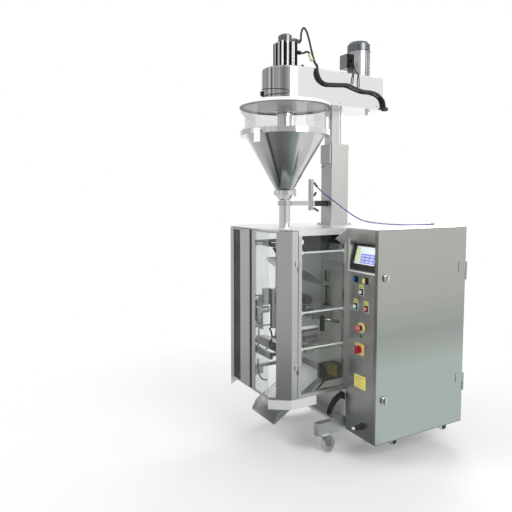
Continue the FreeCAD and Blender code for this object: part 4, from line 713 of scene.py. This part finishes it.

# Right bay: shroud, clevis with its cylinder, the sensor's stem and the rail on the film belt's carrier
# The shroud is a plate, and its black is partly painted shade for the dark top of the bay.
plastic_block("bay_shroud_painted_shade", (248, 251, -18, 255, 1284, 1434), 0.8)
plastic_block("bay_clevis", (239, 261, 116, 142, 778, 874), 2.0)
tube_piece("bay_cylinder", [[(250, 259, 822), (250, 142, 853)]], 10.0, machined, "machine_frame",
           16)
hose_piece("sensor_stem", [[(120, 249, 1144), (120, 249, 1048)]], 5.0, sides=12)
block_piece("belt_rail", [(198.2, 203.5, 4, 134, 790, 808)], pale_sheet, "right_belt", 1.5)
# Painted shade: a black strip under the rail, where the rail's shadow falls on the carrier.
plastic_block("belt_rail_painted_shade", (198.2, 200.5, 4, 134, 775, 785), 0.8, "right_belt")

# The vertical sealer's lead, and its head with cooling fins
lead = [(x, -118, z) for x, z in ((8, 774), (30, 752), (40, 726), (36, 704), (25, 689))]
hose_piece("sealer_lead", [lead], 5.5, "back_sealer")
block_piece("sealer_block", [(-36, -12.5, -150, -96, 928, 1034)], motor_grey, "back_sealer",
            2.0)
block_piece("sealer_fins", [(-39, -36, -148, -98, 938 + 16 * step, 944 + 16 * step) for step in range(6)],
            motor_grey, "back_sealer", 0.6)

# The tag on the cable, the gland on the arm, and the strands and gland of the supply cables
tube_piece("cable_tag", [[(80, 132, 2541), (92, 134, 2514), (101, 138, 2494)]], 11.0, pale_tag,
           "filler_arm", 10)
tube_piece("arm_gland", [[(108, 60, 2438), (108, 60, 2448), (106, 62, 2456)]], 9.0, black_plastic,
           "filler_arm", 14)
strands = [[(x, 259, 352 + lift), (x - 1, 236, 350 + lift), (x - 6 - lean, 214, 336 + lift),
            (x - 14 - lean, 201, 314), (x - 26 - lean, 195, 287), (x - 42 - 2 * lean, 191, 258),
            (x - 52 - 3 * lean, 190, 232)]
           for x, lift, lean in ((318, 6, 0), (300, 10, 4), (283, 4, -3), (306, -12, -6))]
hose_piece("supply_strands", strands, 6.5)
plastic_block("supply_gland", (276, 326, 252, 259.5, 330, 372), 2.0)


def gusset_piece():
    """The triangular plate that ties the roof to the cabinet beside the side window."""
    shape = bmesh.new()
    near_x = 333.4
    far_x = 331.0
    corners = [(159, 1373), (260, 1436), (260, 1315)]
    near = [shape.verts.new(place(near_x, y, z)) for y, z in corners]
    far = [shape.verts.new(place(far_x, y, z)) for y, z in corners]
    shape.faces.new(near)
    shape.faces.new(far[::-1])
    join_loops(shape, [near, far])
    mesh_piece("roof_gusset", shape, stainless_sheet, "machine_frame")


gusset_piece()

# The soft seal on the left guard door's closing edge, drawn wide and black partly as painted shade in the gap
# where the doors meet
block_piece("door_seal_and_gap_shade", [(18.0, 44.0, -271.5, -263.0, 407.0, 1425.0)], black_rubber, "left_front_door",
            1.5)

# Controls on the cabinet's front: oblong bezels and frames behind the caps, label plates, slot and lamp
cabinet_y = 260.0
cap_hole_r = 12.3
bezel_steps = 24
caps = ((467, 1051), (417, 955), (514, 955))
selectors = ((417, 1125), (512, 1125))


def plates(name, boxes, finish, thick, bevel=0.4):
    """Flat plates on the cabinet's front, given by x and z limits."""
    block_piece(name, [(x0, x1, cabinet_y - thick, cabinet_y, z0, z1) for x0, x1, z0, z1 in boxes], finish,
                "machine_frame", bevel)


def bezel_loop(shape, x, y, z, half_x, half_z):
    """A loop of vertices round the hole, or round the rim where half sizes are given."""
    loop = []
    for step in range(bezel_steps):
        turn = math.radians(360 / bezel_steps * step)
        most = max(abs(math.cos(turn)), abs(math.sin(turn)))
        reach_x = half_x / most if half_x else cap_hole_r
        reach_z = half_z / most if half_z else cap_hole_r
        loop.append(shape.verts.new(place(x + reach_x * math.cos(turn), y, z + reach_z * math.sin(turn))))
    return loop


def bezels(name, spots, half_x, half_z, thick, finish):
    """Oblong plates with a round hole that the cap moves in."""
    shape = bmesh.new()
    back = cabinet_y
    front = cabinet_y - thick
    for x, z in spots:
        loops = [bezel_loop(shape, x, y, z, 0, 0) for y in (back, front)]
        loops += [bezel_loop(shape, x, y, z, half_x, half_z) for y in (front, back)]
        join_loops(shape, loops + loops[:1])
    mesh_piece(name, shape, finish, "machine_frame")


plates("button_labels", [(x - 19, x + 19, z + 21, z + 46) for x, z in caps], pale_yellow, 1.4)
bezels("button_bezels", caps + selectors, 18, 20, 1.6, black_plastic)
bezels("button_frames", caps, 21, 23, 0.9, white_cap)
label_rows = [(x - 15, x + 15, z + 26 + 6 * row, z + 28 + 6 * row) for x, z in caps for row in range(3)]
plates("label_lines", label_rows, black_plastic, 1.7, 0.0)
plates("lower_plate", [(414, 520, 448, 530)], pale_yellow, 1.4, 0.5)
lower_rows = [(421, 513, z, z + 2.5) for z in (457, 471, 485)] + [(421, 475, 499, 502), (428, 506, 513, 517)]
plates("lower_plate_lines", lower_rows, salmon_cap, 1.7, 0.0)
plates("card_slot", [(341, 347, 363, 412)], black_plastic, 1.2, 0.3)
plates("stop_lamp", [(463, 479, 768, 786)], green, 5.0, 2.0)

# The bright lip under the hood and the trim up its left side
plates("hood_trim", [(354, 584, 1167, 1177), (344, 352, 1168, 1370)], pale_sheet, 2.0, 0.8)

# Coloured tips on the turning switches
for side, x, finish in (("left", 417, lever_blue), ("right", 512, pale_yellow)):
    block_piece(side + "_lever_tip", [(x - 4.8, x + 4.8, 232.6, 244, 1112, 1141)], finish, side + "_selector",
                1.2)

# The picture on the screen: plain fields and bars on the glass, which leans back in the hood
hood_x = 468.5
screen_tilt = math.atan2(53.0, 185.0)
screen_spot = (hood_x, 268.86, 1181.0)
glass_front = -6.5
field_back = -6.45


def screen_field(name, boxes, depth, finish):
    """Fields of the screen's picture, given by x and height limits on the glass."""
    shape = bmesh.new()
    for x0, x1, z0, z1 in boxes:
        add_block(shape, x0, x1, glass_front - depth, field_back, z0, z1)
    origin = place(0.0, 0.0, 0.0)
    shape.transform(Matrix.Translation(place(*screen_spot)) @ Matrix.Rotation(-screen_tilt, 4, "X")
                    @ Matrix.Translation(-origin))
    mesh_piece(name, shape, finish, "machine_frame")


screen_field("screen_ground", [(-91, 91, 38, 148)], 0.1, screen_white)
screen_field("screen_column", [(-88, -52, 46, 140)], 0.2, screen_lime)
screen_field("screen_panel", [(-40, 88, 44, 104)], 0.2, screen_blue)
screen_field("screen_keys", [(-34 + 40 * column, -4 + 40 * column, 50 + 18 * row, 60 + 18 * row)
                             for column in range(3) for row in range(3)], 0.3, screen_lilac)
screen_field("screen_bars", [(-84, -58, 54 + 14 * row, 58 + 14 * row) for row in range(6)]
             + [(-40, 60, 116, 122), (-40, 30, 130, 135)], 0.3, screen_white)


def free_tube():
    """The blue air tube on its route from the manifold to the cabinet's roof."""
    route = [(16, 250, 1696), (32, 278, 1662), (50, 298, 1641), (70, 317, 1621), (92, 344, 1595),
             (114, 369, 1568), (138, 391, 1544), (164, 412, 1521), (195, 438, 1495), (228, 462, 1475),
             (262, 501, 1463), (294, 560, 1455), (318, 635, 1449), (335, 720, 1444), (344, 812, 1441.3),
             (346, 905, 1441.3), (346, 985, 1441.3)]
    curve = bpy.data.curves.new("blue_air_tube_line", "CURVE")
    curve.dimensions = "3D"
    curve.bevel_depth = 0.004
    curve.bevel_resolution = 5
    curve.resolution_u = 10
    curve.use_fill_caps = True
    spline = curve.splines.new("NURBS")
    spline.points.add(len(route) - 1)
    for point, spot in zip(spline.points, route):
        point.co = (*place(*spot), 1.0)
    spline.order_u = 3
    spline.use_endpoint_u = True
    curve.materials.append(blue_tube)
    tube = bpy.data.objects.new("blue_air_tube_line", curve)
    bpy.context.scene.collection.objects.link(tube)
    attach(tube, "machine_frame")
    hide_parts("blue_air_tube")


free_tube()


# Studio: floor, surround, world, lamps and camera; lengths in metres
fade_start = 0.9
fade_end = 2.6
object_light = 0.62
backdrop_light = 1.0
lamp_width = 2.5


def stage_piece(name, shape, material):
    """Turns a bmesh into an object of the studio."""
    data = bpy.data.meshes.new(name)
    shape.to_mesh(data)
    shape.free()
    data.materials.append(material)
    piece = bpy.data.objects.new(name, data)
    bpy.context.scene.collection.objects.link(piece)
    return piece


def make_floor():
    """Plain pale floor that keeps the shadow close by and fades to white away from the machine."""
    material, tree, surface = new_finish("pale_floor")
    texture = effect(tree, grain, scale=3.0, cloud=0.6, rough_low=0.6, rough_high=0.7, depth=0.0)
    tree.join(tree.mix(texture.outputs["Tone"], colour(0.86), colour(0.88)), surface.inputs["Base Color"])
    tree.join(texture.outputs["Roughness"], surface.inputs["Roughness"])
    reach = tree.add("ShaderNodeVectorMath", operation="LENGTH")
    tree.join(tree.where(), reach.inputs[0])
    fade = tree.spread(reach.outputs["Value"], 0.0, 1.0, fade_start, fade_end)
    path = tree.add("ShaderNodeLightPath")
    seen = tree.math("MAXIMUM", path.outputs["Is Camera Ray"], path.outputs["Is Transmission Ray"])
    white = tree.add("ShaderNodeEmission")
    white.inputs["Color"].default_value = colour(1.0)
    tree.show_mixed(tree.math("MULTIPLY", fade, seen), surface, white)
    material.cycles.emission_sampling = "NONE"
    shape = bmesh.new()
    bmesh.ops.create_grid(shape, x_segments=1, y_segments=1, size=30.0)
    floor = stage_piece("floor", shape, material)


def shade_ramp(tree, factor, stops):
    """A ramp of grey or coloured stops, placed by compass angle in degrees from -180 to 180."""
    ramp = tree.add("ShaderNodeValToRGB")
    tree.join(factor, ramp.inputs[0])
    elements = ramp.color_ramp.elements
    elements[0].color = colour(stops[0][1])
    elements[1].color = colour(stops[-1][1])
    for angle, shade in stops[1:-1]:
        elements.new((angle + 180.0) / 360.0).color = colour(shade)
    return ramp.outputs["Color"]


def surround_material():
    """Light of the room by compass angle: walls above, and ground below that differs near and far."""
    material = bpy.data.materials.new("surround")
    material.use_nodes = True
    material.node_tree.nodes.clear()
    tree = Tree(material.node_tree)
    here = tree.split(tree.where())
    factor = tree.spread(tree.math("ARCTAN2", here[1], here[0]), 0.0, 1.0, -math.pi, math.pi)
    walls = shade_ramp(tree, factor, [
        (-180, 0.85), (-165, 0.62), (-150, 0.62), (-128, 0.58), (-120, 0.92), (-106, 0.92), (-103, 0.12),
        (-99, 0.12), (-96, 0.85), (-84, 0.55), (-76, 0.80), (-70, 0.62), (-58, 0.74), (-54, 0.48),
        (-2, 0.50), (8, 0.95), (25, 0.86), (60, 0.86), (90, 1.0), (180, 0.95)])
    ground = shade_ramp(tree, factor, [
        (-180, 0.60), (-150, 0.40), (-104, 0.46), (-100, 0.04), (-94, 0.04), (-90, 0.20), (-60, 0.14),
        (-30, (0.18, 0.20, 0.19)), (-12, (0.26, 0.33, 0.30)), (4, (0.30, 0.36, 0.33)), (12, 0.80), (30, 0.72),
        (60, 0.72), (75, 0.9), (120, 0.95), (180, 0.75)])
    outer_ground = shade_ramp(tree, factor, [
        (-180, 0.60), (-150, 0.58), (-120, 0.46), (-104, 0.46), (-100, 0.04), (-94, 0.04), (-90, 0.40),
        (-54, 0.52), (-2, 0.52), (10, 0.76), (60, 0.72), (75, 0.9), (180, 0.8)])
    reach = tree.math("SQRT", tree.math("ADD", tree.math("MULTIPLY", here[0], here[0]),
                                        tree.math("MULTIPLY", here[1], here[1])))
    ground = tree.mix(tree.spread(reach, 0.0, 1.0, 2.2, 3.2), ground, outer_ground)
    high = tree.spread(here[2], 0.0, 1.0, 0.02, 0.3)
    lift = tree.spread(here[2], 0.0, 1.0, 5.4, 6.4)
    light = tree.add("ShaderNodeEmission")
    tree.join(tree.mix(lift, tree.mix(high, ground, walls), colour(1.0)), light.inputs["Color"])
    out = tree.add("ShaderNodeOutputMaterial")
    tree.join(light.outputs[0], out.inputs["Surface"])
    material.cycles.emission_sampling = "NONE"
    return material


def make_surround():
    """The room that bright metal mirrors: an open drum with a ground, seen in mirrors only."""
    shape = bmesh.new()
    sides = 96
    loops = []
    for radius, height in ((7.0, 0.004), (7.5, 0.5), (7.5, 7.0)):
        loops.append([shape.verts.new((radius * math.cos(2 * math.pi * step / sides),
                                       radius * math.sin(2 * math.pi * step / sides), height))
                      for step in range(sides)])
    shape.faces.new(loops[0])
    join_loops(shape, loops)
    surround = stage_piece("surround", shape, surround_material())
    for ray in ("camera", "diffuse", "transmission", "volume_scatter", "shadow"):
        setattr(surround, "visible_" + ray, False)


def make_world():
    """Plain light on the object, and a white backdrop for the camera, mirrors and clear pieces."""
    world = bpy.data.worlds.new("studio")
    bpy.context.scene.world = world
    world.use_nodes = True
    world.node_tree.nodes.clear()
    tree = Tree(world.node_tree)
    path = tree.add("ShaderNodeLightPath")
    seen = tree.math("MAXIMUM", path.outputs["Is Camera Ray"],
                     tree.math("MAXIMUM", path.outputs["Is Glossy Ray"], path.outputs["Is Transmission Ray"]))
    plain = tree.add("ShaderNodeBackground")
    backdrop = tree.add("ShaderNodeBackground")
    for background, strength in ((plain, object_light), (backdrop, backdrop_light)):
        background.inputs["Color"].default_value = colour(1.0)
        background.inputs["Strength"].default_value = strength
    tree.add("ShaderNodeOutputWorld")
    tree.show_mixed(seen, plain, backdrop)


def make_lamp(name, spot, target, power, mirrored=True):
    """A square lamp aimed at a target; bright metal shows it where it is mirrored."""
    lamp = bpy.data.lights.new(name, "AREA")
    lamp.size = lamp_width
    lamp.energy = power
    holder = bpy.data.objects.new(name, lamp)
    holder.visible_glossy = mirrored
    holder.location = spot
    holder.rotation_euler = (Vector(target) - Vector(spot)).to_track_quat("-Z", "Y").to_euler()
    bpy.context.scene.collection.objects.link(holder)


def make_camera():
    """The camera, solved from the machine's straight edges."""
    yaw = math.radians(60.56)
    pitch = math.radians(4.58)
    focal_pixels = 526.4
    centre_x = 258.3
    centre_y = 239.1
    width = 512.0
    camera = bpy.data.cameras.new("camera")
    camera.sensor_width = 36.0
    camera.lens = focal_pixels / width * camera.sensor_width
    camera.shift_x = (width / 2 - centre_x) / width
    camera.shift_y = (centre_y - width / 2) / width
    camera.clip_end = 100.0
    holder = bpy.data.objects.new("camera", camera)
    holder.location = place(2923.7, -1848.2, 1629.7)
    look = Vector((-math.sin(yaw) * math.cos(pitch), math.cos(yaw) * math.cos(pitch), -math.sin(pitch)))
    holder.rotation_euler = look.to_track_quat("-Z", "Y").to_euler()
    bpy.context.scene.collection.objects.link(holder)
    bpy.context.scene.camera = holder


make_floor()
make_surround()
make_world()
make_lamp("key", (-1.5, -4.5, 4.2), (0.0, 0.0, 1.2), 130.0, False)
make_lamp("side", (4.5, 0.5, 3.6), (0.0, 0.0, 1.2), 110.0)
make_lamp("back", (-2.5, 4.0, 3.8), (0.0, 0.0, 1.4), 90.0)
make_camera()

bpy.context.scene.view_settings.view_transform = "Standard"
